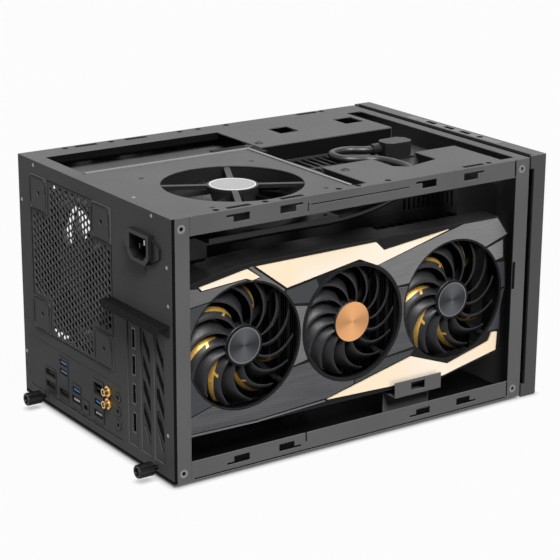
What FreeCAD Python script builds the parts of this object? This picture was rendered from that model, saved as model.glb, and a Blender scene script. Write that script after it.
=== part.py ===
import FreeCAD, Part
import math
import os
import Sketcher
from collections import namedtuple

# A small cube computer case with its covers off: folded steel chassis, plastic fascia, upright power
# supply, main board and a triple fan graphics card. Millimetres, +Z up, the fascia faces -Y, the rear
# panel faces +Y, and the card's fans look out of the left side, -X. The origin is under the middle.

doc = FreeCAD.newDocument("mini_itx_case")
sheet = doc.addObject("Spreadsheet::Sheet", "Sheet")
Disc = namedtuple("Disc", "u v radius")


class Size:
    """A length that carries its number and the sheet formula that the number comes from."""

    def __init__(self, value, formula):
        self.value = value
        self.formula = formula

    def __add__(self, other):
        other = as_size(other)
        return Size(self.value + other.value, f"({self.formula} + {other.formula})")

    def __sub__(self, other):
        other = as_size(other)
        return Size(self.value - other.value, f"({self.formula} - {other.formula})")

    def __mul__(self, other):
        other = as_size(other)
        return Size(self.value * other.value, f"({self.formula} * {other.formula})")

    def __truediv__(self, other):
        other = as_size(other)
        return Size(self.value / other.value, f"({self.formula} / {other.formula})")

    def __neg__(self):
        return as_size(0) - self

    def __radd__(self, other):
        return as_size(other) + self

    def __rsub__(self, other):
        return as_size(other) - self

    def __rmul__(self, other):
        return as_size(other) * self


def as_size(value):
    return value if isinstance(value, Size) else Size(float(value), f"({float(value)!r})")


sheet_rows = [0]


def dimension(alias, value, meaning):
    """Puts one driving dimension in the next row of the sheet."""
    sheet_rows[0] += 1
    row = sheet_rows[0]
    sheet.set(f"A{row}", meaning)
    sheet.set(f"B{row}", str(value))
    sheet.setAlias(f"B{row}", alias)
    return Size(float(value), f"Sheet.{alias}")


# Overall
case_width = dimension("case_width", 247, "overall width")
case_height = dimension("case_height", 215, "height to the top of the fascia")
case_depth = dimension("case_depth", 368, "fascia face to rear panel face")
screw_reach = dimension("screw_reach", 18, "thumbscrews stand out of the rear panel")
gauge = dimension("gauge", 1, "steel sheet thickness")
seam = dimension("seam", 0.3, "gap between neighbouring sheets and mouldings")
foot_height = dimension("foot_height", 2, "rubber foot height")
foot_radius = dimension("foot_radius", 9, "rubber foot radius")
foot_inset = dimension("foot_inset", 26, "foot centre from the case's sides")
cover_step = dimension("cover_step", 1, "frame top below the fascia top")

# Chassis
frame_depth = dimension("frame_depth", 349, "rear panel face to the front wall face")
rear_post = dimension("rear_post", 15.5, "depth of the rear panel's side flanges")
front_post = dimension("front_post", 14, "depth of the front wall's side flanges")
rear_flange = dimension("rear_flange", 13, "width of the rear panel's top flange")
front_flange = dimension("front_flange", 10, "width of the front wall's top flange")
base_flange = dimension("base_flange", 16.5, "height of the base pan's side flanges")
rail_height = dimension("rail_height", 15.2, "height of the top rails")
left_flange = dimension("left_flange", 8, "width of the left rail's top flange")
right_flange = dimension("right_flange", 25, "width of the right rail's top flange")
rail_lip = dimension("rail_lip", 6, "height of the lip on the right rail's top flange")
shelf_width = dimension("shelf_width", 47.5, "width of the right rail's lower shelf")
shelf_back = dimension("shelf_back", 35, "right rail's lower shelf behind the rear face")
shelf_length = dimension("shelf_length", 145, "length of the right rail's lower shelf")
rail_hole = dimension("rail_hole", 1.8, "round hole radius in the rails' top flanges")
rail_hole_edge = dimension("rail_hole_edge", 5, "round holes from a rail's outer edge")
rail_slit_width = dimension("rail_slit_width", 2, "slit width in the rails' top flanges")
rail_slit_length = dimension("rail_slit_length", 21, "slit length in the rails' top flanges")
upright_back = dimension("upright_back", 122.5, "upright slits of rails and base behind the rear face")
upright_width = dimension("upright_width", 1.5, "upright slit width")
rail_upright_drop = dimension("rail_upright_drop", 5.4, "upright slit below a rail's top")
rail_upright_height = dimension("rail_upright_height", 7, "upright slit height in a rail")
base_upright_height = dimension("base_upright_height", 8, "upright slit height in a base flange")
# Sites along both rails' top flanges, from the rear face
RAIL_HOLES = (42, 86.5, 155.5, 174.5, 204, 308.5)
RAIL_SLITS = (51.5, 100.5, 281.5)
window_inset = dimension("window_inset", 38, "front wall window from the case's sides")
window_height = dimension("window_height", 150, "height of the front wall window")

# Panel slots in the rails and the base flanges
slot_length = dimension("slot_length", 14.8, "hook slot length")
slot_height = dimension("slot_height", 6.2, "hook slot height")
slot_arm = dimension("slot_arm", 6.4, "length of a hook slot's narrow arm")
slot_arm_height = dimension("slot_arm_height", 1.8, "height of a hook slot's narrow arm")
slot_edge = dimension("slot_edge", 4, "hook slot from the rail's outer edge")
base_slot_edge = dimension("base_slot_edge", 6, "hook slot from the base pan's underside")
first_slot = dimension("first_slot", 54.5, "first hook slot behind the rear panel")
second_slot = dimension("second_slot", 97.1, "second hook slot behind the rear panel")
third_slot = dimension("third_slot", 235.1, "third hook slot behind the rear panel")
fourth_slot = dimension("fourth_slot", 278.5, "fourth hook slot behind the rear panel")
nut_radius = dimension("nut_radius", 3.4, "clinch nut outer radius")
nut_hole = dimension("nut_hole", 1.6, "clinch nut thread radius")
nut_length = dimension("nut_length", 4, "clinch nut length")
nut_low = dimension("nut_low", 10.5, "lower clinch nuts above the table")
nut_high = dimension("nut_high", 205.5, "upper clinch nuts above the table")
rear_nut = dimension("rear_nut", 8.5, "rear clinch nuts behind the rear face")
front_nut = dimension("front_nut", 341, "front clinch nuts behind the rear face")

# Rear panel openings
io_left = dimension("io_left", -44.5, "connector opening, side next to the slots")
io_width = dimension("io_width", 158.75, "connector opening width")
io_bottom = dimension("io_bottom", 13.5, "connector opening above the table")
io_height = dimension("io_height", 44.45, "connector opening height")
slot_pitch = dimension("slot_pitch", 20.32, "expansion slot pitch")
slot_width = dimension("slot_width", 15.5, "expansion slot opening width")
slot_centre = dimension("slot_centre", -62, "first expansion slot's middle")
slot_bottom = dimension("slot_bottom", 15, "expansion slot opening above the table")
slot_top = dimension("slot_top", 117, "top of the expansion slot openings")
grille_x = dimension("grille_x", 34.5, "rear grille middle, across")
grille_z = dimension("grille_z", 135, "rear grille middle, up")
grille_size = dimension("grille_size", 134, "rear grille side")
grille_tab = dimension("grille_tab", 29, "plain corner pads of the grille")
tab_slot_inset = dimension("tab_slot_inset", 3, "slot in a grille pad from the pad's edges")
tab_slot_width = dimension("tab_slot_width", 2.2, "slot width in a grille pad")
tab_slot_height = dimension("tab_slot_height", 11, "slot height in a grille pad")
tab_proud = dimension("tab_proud", 0.8, "corner pads stand out of the panel")
hex_pitch = dimension("hex_pitch", 12, "grille hexagon pitch")
hex_bar = dimension("hex_bar", 2, "grille bar width")
inlet_x = dimension("inlet_x", -83, "mains inlet middle, across")
inlet_z = dimension("inlet_z", 184, "mains inlet middle, up")
thumb_left = dimension("thumb_left", -97, "thumbscrew by the slots, across")
thumb_right = dimension("thumb_right", 89, "thumbscrew by the connectors, across")
thumb_z = dimension("thumb_z", 8.8, "thumbscrews above the table")
thumb_head = dimension("thumb_head", 5.6, "thumbscrew head radius")
thumb_shank = dimension("thumb_shank", 1.7, "thumbscrew shank radius")
thumb_neck = dimension("thumb_neck", 3.6, "thumbscrew neck radius")
thumb_neck_length = dimension("thumb_neck_length", 4, "thumbscrew neck length")
thumb_thread = dimension("thumb_thread", 5, "thumbscrew shank inside the rear face")
clamp_left = dimension("clamp_left", -119, "slot clamp bar's outer end")
clamp_right = dimension("clamp_right", -32, "slot clamp bar's inner end")
clamp_z = dimension("clamp_z", 121, "slot clamp bar above the table")
clamp_height = dimension("clamp_height", 9.5, "slot clamp bar height")
clamp_reach = dimension("clamp_reach", 10.5, "slot clamp bar stands out of the panel")
clamp_lip = dimension("clamp_lip", 6.5, "height of the slot clamp bar's outer lip")

# Fascia
fascia_depth = dimension("fascia_depth", 13.3, "fascia side wall depth")
fascia_wall = dimension("fascia_wall", 2.5, "fascia wall thickness")
fascia_lift = dimension("fascia_lift", 0.8, "fascia bottom above the table")
fascia_tab = dimension("fascia_tab", 4, "corner tabs behind the fascia's side walls")
fascia_tab_height = dimension("fascia_tab_height", 11, "height of the corner tabs")
fascia_edge = dimension("fascia_edge", 1.2, "rounding of the fascia's upright edges")
snap_radius = dimension("snap_radius", 4, "snap stud radius")
snap_inset = dimension("snap_inset", 24, "snap studs from the fascia's sides")
strip_left = dimension("strip_left", -72, "connector strip's left end")
strip_right = dimension("strip_right", 54, "connector strip's right end")
strip_front = dimension("strip_front", 2.4, "connector strip behind the fascia face")
strip_width = dimension("strip_width", 9, "connector strip width")
strip_thick = dimension("strip_thick", 1.5, "connector strip thickness")
button_x = dimension("button_x", 38, "power button middle")
button_radius = dimension("button_radius", 3, "power button radius")
button_gap = dimension("button_gap", 0.3, "running gap round the power button")
button_travel = dimension("button_travel", 1.2, "power button travel")
jack_x = dimension("jack_x", -45, "front sound socket middle")
jack_radius = dimension("jack_radius", 3, "front sound socket opening radius")
usb_width = dimension("usb_width", 12.6, "front data socket opening width")
usb_height = dimension("usb_height", 4.8, "front data socket opening height")
socket_wall = dimension("socket_wall", 0.9, "socket shell thickness")
socket_depth = dimension("socket_depth", 12, "front socket length")
socket_floor = dimension("socket_floor", 2, "front socket floor thickness")
tongue_inset = dimension("tongue_inset", 1.2, "front socket tongue from its shell")
tongue_thick = dimension("tongue_thick", 1.6, "front socket tongue thickness")
button_collar = dimension("button_collar", 1.5, "power button collar thickness")
collar_radius = dimension("collar_radius", 4, "power button collar radius")
USB_CENTRES = (22.0, -3.0, -25.0)

# Fans
fan_side = dimension("fan_side", 120, "case fan frame side")
fan_thick = dimension("fan_thick", 25, "case fan frame thickness")
fan_bore = dimension("fan_bore", 57.5, "case fan duct radius")
fan_pitch = dimension("fan_pitch", 105, "case fan screw spacing")
fan_hole = dimension("fan_hole", 2.2, "case fan screw hole radius")
fan_lip = dimension("fan_lip", 4, "case fan flange thickness")
fan_wall = dimension("fan_wall", 1.8, "case fan duct wall")
fan_hub = dimension("fan_hub", 20.5, "case fan hub radius")
fan_tip_gap = dimension("fan_tip_gap", 1.2, "case fan blade tip gap")
strut_width = dimension("strut_width", 5, "case fan strut width")
strut_thick = dimension("strut_thick", 3, "case fan strut thickness")
strut_bite = dimension("strut_bite", 1, "struts run this far into the duct and the base")
hub_short = dimension("hub_short", 1, "case fan hub inside the frame's face")
case_blade = dimension("case_blade", 1.5, "case fan blade thickness")
blade_low = dimension("blade_low", 3, "case fan blades above the hub's foot")
blade_high = dimension("blade_high", 1.5, "case fan blades below the hub's top")
pin_radius = dimension("pin_radius", 1.5, "fan shaft radius")
pin_fit = dimension("pin_fit", 0.05, "radial clearance on a fan shaft")
pin_length = dimension("pin_length", 8, "fan shaft length")
hub_gap = dimension("hub_gap", 0.3, "running gap between hub and motor base")
top_fan_x = dimension("top_fan_x", -57.5, "top fan middle, across")
top_fan_back = dimension("top_fan_back", 96.5, "top fan middle behind the rear face")
plate_hole = dimension("plate_hole", 57, "round opening in the fan plate")
plate_right = dimension("plate_right", 33, "fan plate's inner edge")
plate_front = dimension("plate_front", 171, "fan plate's front edge behind the rear face")
hem = dimension("hem", 3, "width of the fan plate's folded hem")

# Power supply and the plates round it
supply_left = dimension("supply_left", -48, "power supply's left face")
supply_width = dimension("supply_width", 86, "power supply width")
supply_back = dimension("supply_back", 187, "power supply behind the rear face")
supply_length = dimension("supply_length", 149, "power supply length, front to back")
supply_tall = dimension("supply_tall", 140, "power supply body height")
supply_drop = dimension("supply_drop", 15, "power supply top below the frame top")
supply_wall = dimension("supply_wall", 1, "power supply sheet thickness")
supply_fan = dimension("supply_fan", 57, "power supply fan opening radius")
louvre_width = dimension("louvre_width", 2.4, "width of a louvre in the power supply's left face")
louvre_height = dimension("louvre_height", 15, "height of a louvre")
louvre_pitch = dimension("louvre_pitch", 5.2, "louvre spacing")
louvre_back = dimension("louvre_back", 276, "first louvre behind the rear face")
louvre_z = dimension("louvre_z", 157, "louvres above the table")
vent_width = dimension("vent_width", 5, "vent slot width in the power supply top")
vent_bar = dimension("vent_bar", 2.5, "bar between vent slots")
VENT_ROWS = 8
vent_first = dimension("vent_first", 8, "first vent slot from the power supply's rear edge")
vent_length = dimension("vent_length", 29, "vent slot length")
vent_inset = dimension("vent_inset", 12, "vent slots from the power supply's left face")
vent_split = dimension("vent_split", 4, "bar between the two rows of vent slots")
LOUVRES = 11
bracket_right = dimension("bracket_right", -55, "supply bracket's inner edge")
bracket_back = dimension("bracket_back", 185, "supply bracket's rear edge behind the rear face")
bracket_front = dimension("bracket_front", 324, "supply bracket's front edge behind the rear face")
notch_back = dimension("notch_back", 236, "bracket notch behind the rear face")
notch_length = dimension("notch_length", 45, "bracket notch length")
notch_depth = dimension("notch_depth", 33, "bracket notch depth")
notch_point = dimension("notch_point", 10, "bracket notch's point from its rear side")
notch_slant = dimension("notch_slant", 4, "bracket notch's slanted end, each way")
bracket_foot = dimension("bracket_foot", 8, "bracket foot over the power supply")
tray_left = dimension("tray_left", 31, "drive tray's inner edge")
tray_back = dimension("tray_back", 182, "drive tray's rear edge behind the rear face")
tray_front = dimension("tray_front", 323, "drive tray's front edge behind the rear face")
tray_hole = dimension("tray_hole", 22, "drive tray cut-out width")
tray_hole_length = dimension("tray_hole_length", 20, "drive tray cut-out length")
tray_hole_inset = dimension("tray_hole_inset", 33, "drive tray cut-outs from its inner edge")
tray_hole_back = dimension("tray_hole_back", 44, "rear cut-out from the tray's rear edge")
tray_hole_front = dimension("tray_hole_front", 6, "front cut-out from the tray's front edge")
plug_x = dimension("plug_x", -8, "supply plug middle, across")
plug_back = dimension("plug_back", 296.5, "supply plug middle behind the rear face")
plug_length = dimension("plug_length", 28, "supply plug length")
plug_width = dimension("plug_width", 20, "supply plug width")
plug_chamfer = dimension("plug_chamfer", 5, "supply plug corner cut")
sleeve_aside = dimension("sleeve_aside", 4.5, "plug's sleeve beside its middle")
sleeve_length = dimension("sleeve_length", 8, "plug's sleeve length")
sleeve_wall = dimension("sleeve_wall", 1.4, "plug's sleeve wall round the lead")
socket_frame = dimension("socket_frame", 1.5, "supply inlet flange thickness")
socket_lip = dimension("socket_lip", 2, "supply inlet flange round the plug")
socket_sink = dimension("socket_sink", 12, "supply inlet depth below the supply top")
socket_half = dimension("socket_half", 12, "half length of the supply inlet's cut-out")
socket_across = dimension("socket_across", 9, "half width of the supply inlet's cut-out")
guard_wire = dimension("guard_wire", 2, "fan guard wire thickness")
guard_hub = dimension("guard_hub", 16, "fan guard centre radius")
guard_first = dimension("guard_first", 27, "fan guard's smallest ring radius")
guard_step = dimension("guard_step", 11, "fan guard ring spacing")
guard_spoke = dimension("guard_spoke", 3, "fan guard spoke width")
guard_reach = dimension("guard_reach", 4, "fan guard spokes past the fan screws")
GUARD_RINGS = 4
rocker_back = dimension("rocker_back", 269, "supply rocker middle behind the rear face")
rocker_length = dimension("rocker_length", 18, "supply rocker length")
rocker_width = dimension("rocker_width", 11, "supply rocker width")
rocker_gap = dimension("rocker_gap", 0.35, "running gap beside the rocker")
rocker_wall = dimension("rocker_wall", 1.8, "rocker frame wall")
rocker_depth = dimension("rocker_depth", 9, "rocker frame depth below the supply top")
rocker_axis = dimension("rocker_axis", 3, "rocker pins below the supply top")
rocker_end = dimension("rocker_end", 0.8, "rocker ends inside its full length")
rocker_belly = dimension("rocker_belly", 3, "rocker belly below its pins")
rocker_chin = dimension("rocker_chin", 1, "rocker ends below its pins")
rocker_middle = dimension("rocker_middle", 1.8, "rocker middle above its pins")
rocker_raised = dimension("rocker_raised", 3.6, "raised end of the rocker above its pins")
rocker_lowered = dimension("rocker_lowered", 0.3, "lowered end of the rocker above its pins")

# Main board
board_left = dimension("board_left", -61, "main board's left edge")
board_side = dimension("board_side", 170, "main board side")
board_back = dimension("board_back", 2.5, "main board behind the rear face")
board_z = dimension("board_z", 14.1, "main board underside above the table")
board_thick = dimension("board_thick", 1.6, "circuit board thickness")
board_hole_inset = dimension("board_hole_inset", 6.4, "main board holes from its edges")
standoff_radius = dimension("standoff_radius", 3, "standoff radius")
board_hole = dimension("board_hole", 1.8, "main board hole radius")
board_hole_rear = dimension("board_hole_rear", 19.2, "rear pair of board holes from the board's rear edge")
shield_thick = dimension("shield_thick", 0.8, "connector shield thickness")
shield_rim = dimension("shield_rim", 2.2, "shield rim behind the panel")
shield_back = dimension("shield_back", 0.6, "thickness of the shield's rim")
port_lift = dimension("port_lift", 0.6, "port shells above the board")
port_proud = dimension("port_proud", 0.6, "ports stand out of the shield")
port_length = dimension("port_length", 17, "port length")
port_overhang = dimension("port_overhang", 4, "port shells past the board's edge")
port_mouth = dimension("port_mouth", 8, "depth of a port's mouth")
port_tongue = dimension("port_tongue", 1.4, "thickness of a port's tongue")
sound_half = dimension("sound_half", 5, "half the sound sockets' block width")
sound_length = dimension("sound_length", 13, "length of the sound sockets' block")
sound_radius = dimension("sound_radius", 4.4, "sound socket collar radius")
sound_bore = dimension("sound_bore", 1.8, "sound socket bore radius")
antenna_radius = dimension("antenna_radius", 3.1, "antenna socket radius")
antenna_reach = dimension("antenna_reach", 6.5, "antenna sockets stand out of the shield")
antenna_bore = dimension("antenna_bore", 2.1, "antenna socket bore radius")
antenna_mouth = dimension("antenna_mouth", 5, "antenna socket bore depth")
antenna_contact = dimension("antenna_contact", 0.6, "antenna socket contact radius")
radio_half = dimension("radio_half", 7, "half the radio module's width")
radio_length = dimension("radio_length", 10, "radio module length")
memory_x = dimension("memory_x", 93, "first memory slot's middle")
memory_pitch = dimension("memory_pitch", 9.5, "memory slot pitch")
memory_length = dimension("memory_length", 133, "memory module length")
memory_height = dimension("memory_height", 31, "memory module height")
memory_slot_height = dimension("memory_slot_height", 7, "memory slot height")
memory_slot_half = dimension("memory_slot_half", 3.2, "half the memory slot's width")
memory_half = dimension("memory_half", 0.7, "half the memory module's thickness")
memory_latch = dimension("memory_latch", 5, "memory slot past the module's ends")
memory_inset = dimension("memory_inset", 18, "memory modules from the board's rear edge")
cooler_x = dimension("cooler_x", 30, "processor middle, across")
cooler_back = dimension("cooler_back", 82, "processor middle behind the rear face")
cooler_width = dimension("cooler_width", 92, "cooler fin width")
cooler_length = dimension("cooler_length", 52, "cooler fin length, front to back")
cooler_base = dimension("cooler_base", 40, "cooler base side")
cooler_low = dimension("cooler_low", 62, "lowest cooler fin above the table")
cooler_pitch = dimension("cooler_pitch", 7, "cooler fin pitch")
pipe_radius = dimension("pipe_radius", 3, "heat pipe radius")
pipe_aside = dimension("pipe_aside", 13, "heat pipes beside the cooler's middle")
pipe_along = dimension("pipe_along", 9, "heat pipes before and behind the cooler's middle")
block_inset = dimension("block_inset", 2, "cooler block inside the processor's edge")
block_height = dimension("block_height", 9, "cooler block height")
chip_height = dimension("chip_height", 7, "processor and its socket, height")
COOLER_FINS = 13

# Graphics card
card_face = dimension("card_face", 9.5, "card shroud face inside the case's left side")
shroud_depth = dimension("shroud_depth", 21, "shroud depth")
shroud_wall = dimension("shroud_wall", 2.2, "shroud wall thickness")
hood_depth = dimension("hood_depth", 13, "shroud's hood over the fins")
hood_thick = dimension("hood_thick", 1.2, "hood thickness")
card_fan_back = dimension("card_fan_back", 175, "middle card fan behind the rear face")
card_fan_z = dimension("card_fan_z", 99.5, "card fans above the table")
card_fan_pitch = dimension("card_fan_pitch", 104, "card fan spacing")
outer_opening = dimension("outer_opening", 51, "outer card fan opening radius")
middle_opening = dimension("middle_opening", 47, "middle card fan opening radius")
blade_gap = dimension("blade_gap", 2, "card fan blade tip gap")
card_blade = dimension("card_blade", 1.2, "card fan blade thickness")
card_blade_edge = dimension("card_blade_edge", 1.5, "card fan blades inside the hub's ends")
card_hub = dimension("card_hub", 16.5, "card fan hub radius")
card_hub_length = dimension("card_hub_length", 11.5, "card fan hub length")
cap_thick = dimension("cap_thick", 0.8, "hub cap thickness")
hub_recess = dimension("hub_recess", 0.9, "hub cap behind the shroud face")
mount_radius = dimension("mount_radius", 15, "card fan motor base radius")
mount_thick = dimension("mount_thick", 3, "card fan motor base and arm thickness")
arm_width = dimension("arm_width", 4, "card fan arm width")
post_radius = dimension("post_radius", 2.6, "card fan post radius")
post_out = dimension("post_out", 4.5, "card fan posts outside the opening")
trim_thick = dimension("trim_thick", 1.4, "gold trim thickness")
ring_width = dimension("ring_width", 2.4, "raised ring round the middle fan")
ring_proud = dimension("ring_proud", 1, "height of the raised ring")
card_board_x = dimension("card_board_x", 66, "card board's fan side inside the case's left side")
card_length = dimension("card_length", 316, "card board length")
card_bottom = dimension("card_bottom", 28, "card board's lower edge above the table")
card_top = dimension("card_top", 148, "card board's upper edge above the table")
card_back = dimension("card_back", 3, "card board behind the rear face")
core_along = dimension("core_along", 20, "card processor behind the middle fan")
plate_ahead = dimension("plate_ahead", 6, "backplate past the board's front edge")
plate_behind = dimension("plate_behind", 10, "backplate short of the board's rear edge")
plate_below = dimension("plate_below", 3, "backplate above the board's lower edge")
plate_above = dimension("plate_above", 15.5, "backplate above the board's upper edge")
post_inset = dimension("post_inset", 30, "backplate posts from the board's ends")
post_edge = dimension("post_edge", 13, "backplate posts from the board's edges")
slot_end = dimension("slot_end", 3, "card slot past the edge connector's ends")
edge_back = dimension("edge_back", 52, "card edge connector behind the rear face")
edge_length = dimension("edge_length", 85, "card edge connector length")
slot_block_height = dimension("slot_block_height", 11, "card slot height")
slot_block_width = dimension("slot_block_width", 7.6, "card slot width")
groove_depth = dimension("groove_depth", 7.5, "card slot groove depth")
groove_fit = dimension("groove_fit", 0.15, "clearance beside a board in its groove")
backplate_gap = dimension("backplate_gap", 3.2, "backplate behind the card board")
backplate_thick = dimension("backplate_thick", 1.5, "backplate thickness")
core_height = dimension("core_height", 2.4, "card processor height")
core_side = dimension("core_side", 42, "card processor side")
fin_plate = dimension("fin_plate", 4, "card heatsink base thickness")
fin_pitch = dimension("fin_pitch", 9, "card heatsink fin spacing")
fin_thick = dimension("fin_thick", 2.5, "card heatsink fin thickness")
sink_back = dimension("sink_back", 36, "card heatsink behind the rear face")
sink_low = dimension("sink_low", 44, "card heatsink above the table")
sink_high = dimension("sink_high", 157.5, "top of the card heatsink")
SINK_FINS = 31
bracket_low = dimension("bracket_low", 12, "card bracket above the table")
bracket_high = dimension("bracket_high", 120, "top of the card bracket")
bracket_edge = dimension("bracket_edge", 1, "card bracket inside its last slot's edge")
display_half = dimension("display_half", 3.2, "half the display socket's width")
display_tall = dimension("display_tall", 8.8, "half the display socket's height")
display_wall = dimension("display_wall", 1.1, "display socket shell thickness")
display_length = dimension("display_length", 14, "display socket length behind the bracket")
display_proud = dimension("display_proud", 0.6, "display sockets in the bracket's thickness")
display_mouth = dimension("display_mouth", 5.6, "display socket mouth depth")
vent_low = dimension("vent_low", 24, "lowest bracket vent above the table")
vent_step = dimension("vent_step", 18, "bracket vent spacing")
vent_tall = dimension("vent_tall", 14, "bracket vent height")
vent_lean = dimension("vent_lean", 7, "bracket vent slant across its height")
vent_gap = dimension("vent_gap", 3, "bracket vent width")
BRACKET_VENTS = 5
DISPLAY_Z = (34.0, 58.0, 82.0, 104.0)
CARD_BLADES = 14
CARD_STATIONS = ((0, 0, 15, 0), (0.35, 1, 18, 0.3), (0.7, 11, 17, 1.2), (1, 25, 14, 2.5))
CASE_BLADES = 9
CASE_STATIONS = ((0, 0, 30, 0), (0.5, 9, 28, 1), (1, 22, 28, 3))

# Card holder
holder_back = dimension("holder_back", 216, "card holder behind the rear face")
holder_length = dimension("holder_length", 48.5, "card holder length")
holder_low = dimension("holder_low", 26, "card holder face above the table")
holder_high = dimension("holder_high", 39.5, "top of the card holder face")
holder_inset = dimension("holder_inset", 4.6, "card holder face inside the case's left side")
holder_shelf = dimension("holder_shelf", 17, "card holder shelf width")
holder_hole = dimension("holder_hole", 14.6, "card holder hole length")
holder_hole_height = dimension("holder_hole_height", 7, "card holder hole height")

# Inlet and lead
inlet_proud = dimension("inlet_proud", 5.5, "mains inlet stands out of the panel")
inlet_width = dimension("inlet_width", 31, "mains inlet rim width")
inlet_height = dimension("inlet_height", 24, "mains inlet rim height")
inlet_ear = dimension("inlet_ear", 10, "mains inlet screw ears")
inlet_ear_thick = dimension("inlet_ear_thick", 2.5, "mains inlet screw ear thickness")
inlet_depth = dimension("inlet_depth", 17, "mains inlet recess depth")
inlet_rim = dimension("inlet_rim", 3, "mains inlet rim width round the recess")
inlet_chamfer = dimension("inlet_chamfer", 5, "mains inlet corner cut")
blade_wide = dimension("blade_wide", 4, "mains pin width")
blade_thick = dimension("blade_thick", 2, "mains pin thickness")
blade_length = dimension("blade_length", 11, "mains pin length")
PIN_SITES = ((-7, -1.5), (0, 2.5), (7, -1.5))
tail_length = dimension("tail_length", 34, "moulded tail behind the inlet")
tail_width = dimension("tail_width", 27, "moulded tail width")
tail_height = dimension("tail_height", 21, "moulded tail height")
tail_clear = dimension("tail_clear", 0.5, "moulded tail below the top fan")
tail_chamfer = dimension("tail_chamfer", 4, "moulded tail corner cut")
ear_half = dimension("ear_half", 4, "half height of an inlet ear's tip")
inlet_floor = dimension("inlet_floor", 2, "mains inlet floor thickness")
lead_radius = dimension("lead_radius", 3.4, "mains lead radius")
lead_start = dimension("lead_start", 30, "straight start of the lead behind the tail")
lead_finish = dimension("lead_finish", 7, "straight end of the lead at the plug")
BEND_SHARE = 0.48

# Places that follow from the driving dimensions
left = -case_width / 2
right = case_width / 2
rear = (case_depth - screw_reach) / 2
front = -(case_depth + screw_reach) / 2
frame_front = rear - frame_depth
frame_top = case_height - cover_step
floor_top = foot_height + gauge
flange_top = foot_height + base_flange
rail_bottom = frame_top - rail_height
plate_low = frame_top - gauge
face_x = left + card_face
shroud_inside = face_x + shroud_wall
shroud_back = face_x + shroud_depth
hub_front = face_x + hub_recess + cap_thick
hub_back = hub_front + card_hub_length
mount_front = hub_back + hub_gap
mount_back = mount_front + mount_thick
sink_front = shroud_back + 1
card_x = left + card_board_x
board_top = board_z + board_thick
groove_floor = board_top + slot_block_height - groove_depth
supply_top = frame_top - supply_drop
supply_low = supply_top - supply_tall
supply_right = supply_left + supply_width
supply_rear = rear - supply_back
supply_front = supply_rear - supply_length
supply_fan_y = supply_rear - supply_length / 2
supply_fan_z = supply_low + supply_tall / 2
inlet_back = rear + inlet_proud - inlet_depth - inlet_floor
sleeve_x = plug_x + sleeve_aside
sleeve_end = rear - plug_back + plug_length / 2 + sleeve_length
sleeve_z = (supply_top + socket_frame + plate_low) / 2
doc.recompute()

made = {}
PLANES = {"XY": "XY_Plane", "XZ": "XZ_Plane", "YZ": "YZ_Plane"}
NEAR = 0.01


def keep(label, part):
    """Names a finished sub-part for its file."""
    part.Label = label
    made[label] = part
    return part


def rect(low_u, high_u, low_v, high_v):
    return [(low_u, low_v), (high_u, low_v), (high_u, high_v), (low_u, high_v)]


def bar(u, v, angle, start, end, width):
    """A straight bar from radius start to radius end at an angle round a point."""
    cosine = math.cos(math.radians(angle))
    sine = math.sin(math.radians(angle))
    half = width / 2
    ends = ((start, -half), (end, -half), (end, half), (start, half))
    return [(u + along * cosine - aside * sine, v + along * sine + aside * cosine) for along, aside in ends]


def round_sites(u, v, radius, angles):
    """Points on a circle."""
    turns = [math.radians(angle) for angle in angles]
    return [(u + radius * math.cos(turn), v + radius * math.sin(turn)) for turn in turns]


def corners(u, v, spacing):
    """The four corners of a square pattern."""
    half = spacing / 2
    return [(u - half, v - half), (u + half, v - half), (u + half, v + half), (u - half, v + half)]


def tie(sketch, kind, index, position, size):
    """Ties one point of a sketch to the sketch origin along one axis."""
    number = sketch.addConstraint(Sketcher.Constraint(kind, -1, 1, index, position, size.value))
    sketch.setExpression(f"Constraints[{number}]", size.formula)


def draw_disc(sketch, disc):
    u, v, radius = (as_size(part) for part in disc)
    centre = FreeCAD.Vector(u.value, v.value, 0)
    circle = Part.Circle(centre, FreeCAD.Vector(0, 0, 1), radius.value)
    index = sketch.addGeometry(circle, False)
    tie(sketch, "DistanceX", index, 3, u)
    tie(sketch, "DistanceY", index, 3, v)
    number = sketch.addConstraint(Sketcher.Constraint("Radius", index, radius.value))
    sketch.setExpression(f"Constraints[{number}]", radius.formula)


def draw_outline(sketch, outline):
    points = [(as_size(u), as_size(v)) for u, v in outline]
    places = [FreeCAD.Vector(u.value, v.value, 0) for u, v in points]
    first = sketch.GeometryCount
    for place, following in zip(places, places[1:] + places[:1]):
        sketch.addGeometry(Part.LineSegment(place, following), False)
    for step, (u, v) in enumerate(points):
        following = first + (step + 1) % len(points)
        sketch.addConstraint(Sketcher.Constraint("Coincident", first + step, 2, following, 1))
        tie(sketch, "DistanceX", first + step, 1, u)
        tie(sketch, "DistanceY", first + step, 1, v)


def draw(body, plane, height, loops):
    """A sketch of closed outlines and circles on one of the body's own planes."""
    sketch = body.newObject("Sketcher::SketchObject", "outline")
    roles = body.Origin.OriginFeatures
    support = next(feature for feature in roles if feature.Role == PLANES[plane])
    sketch.AttachmentSupport = [(support, "")]
    sketch.MapMode = "FlatFace"
    sign = -1 if plane == "XZ" else 1
    sketch.setExpression("AttachmentOffset.Base.z", (as_size(height) * sign).formula)
    for loop in loops:
        if isinstance(loop, Disc):
            draw_disc(sketch, loop)
        else:
            draw_outline(sketch, loop)
    return sketch


def new_body():
    return doc.addObject("PartDesign::Body", "body")


def pad(body, plane, loops, start, length):
    """Adds material between two heights across a plane."""
    start, length = as_size(start), as_size(length)
    height = start + length if plane == "XZ" else start
    feature = body.newObject("PartDesign::Pad", "pad")
    feature.Profile = draw(body, plane, height, loops)
    feature.setExpression("Length", length.formula)
    return body


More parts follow.
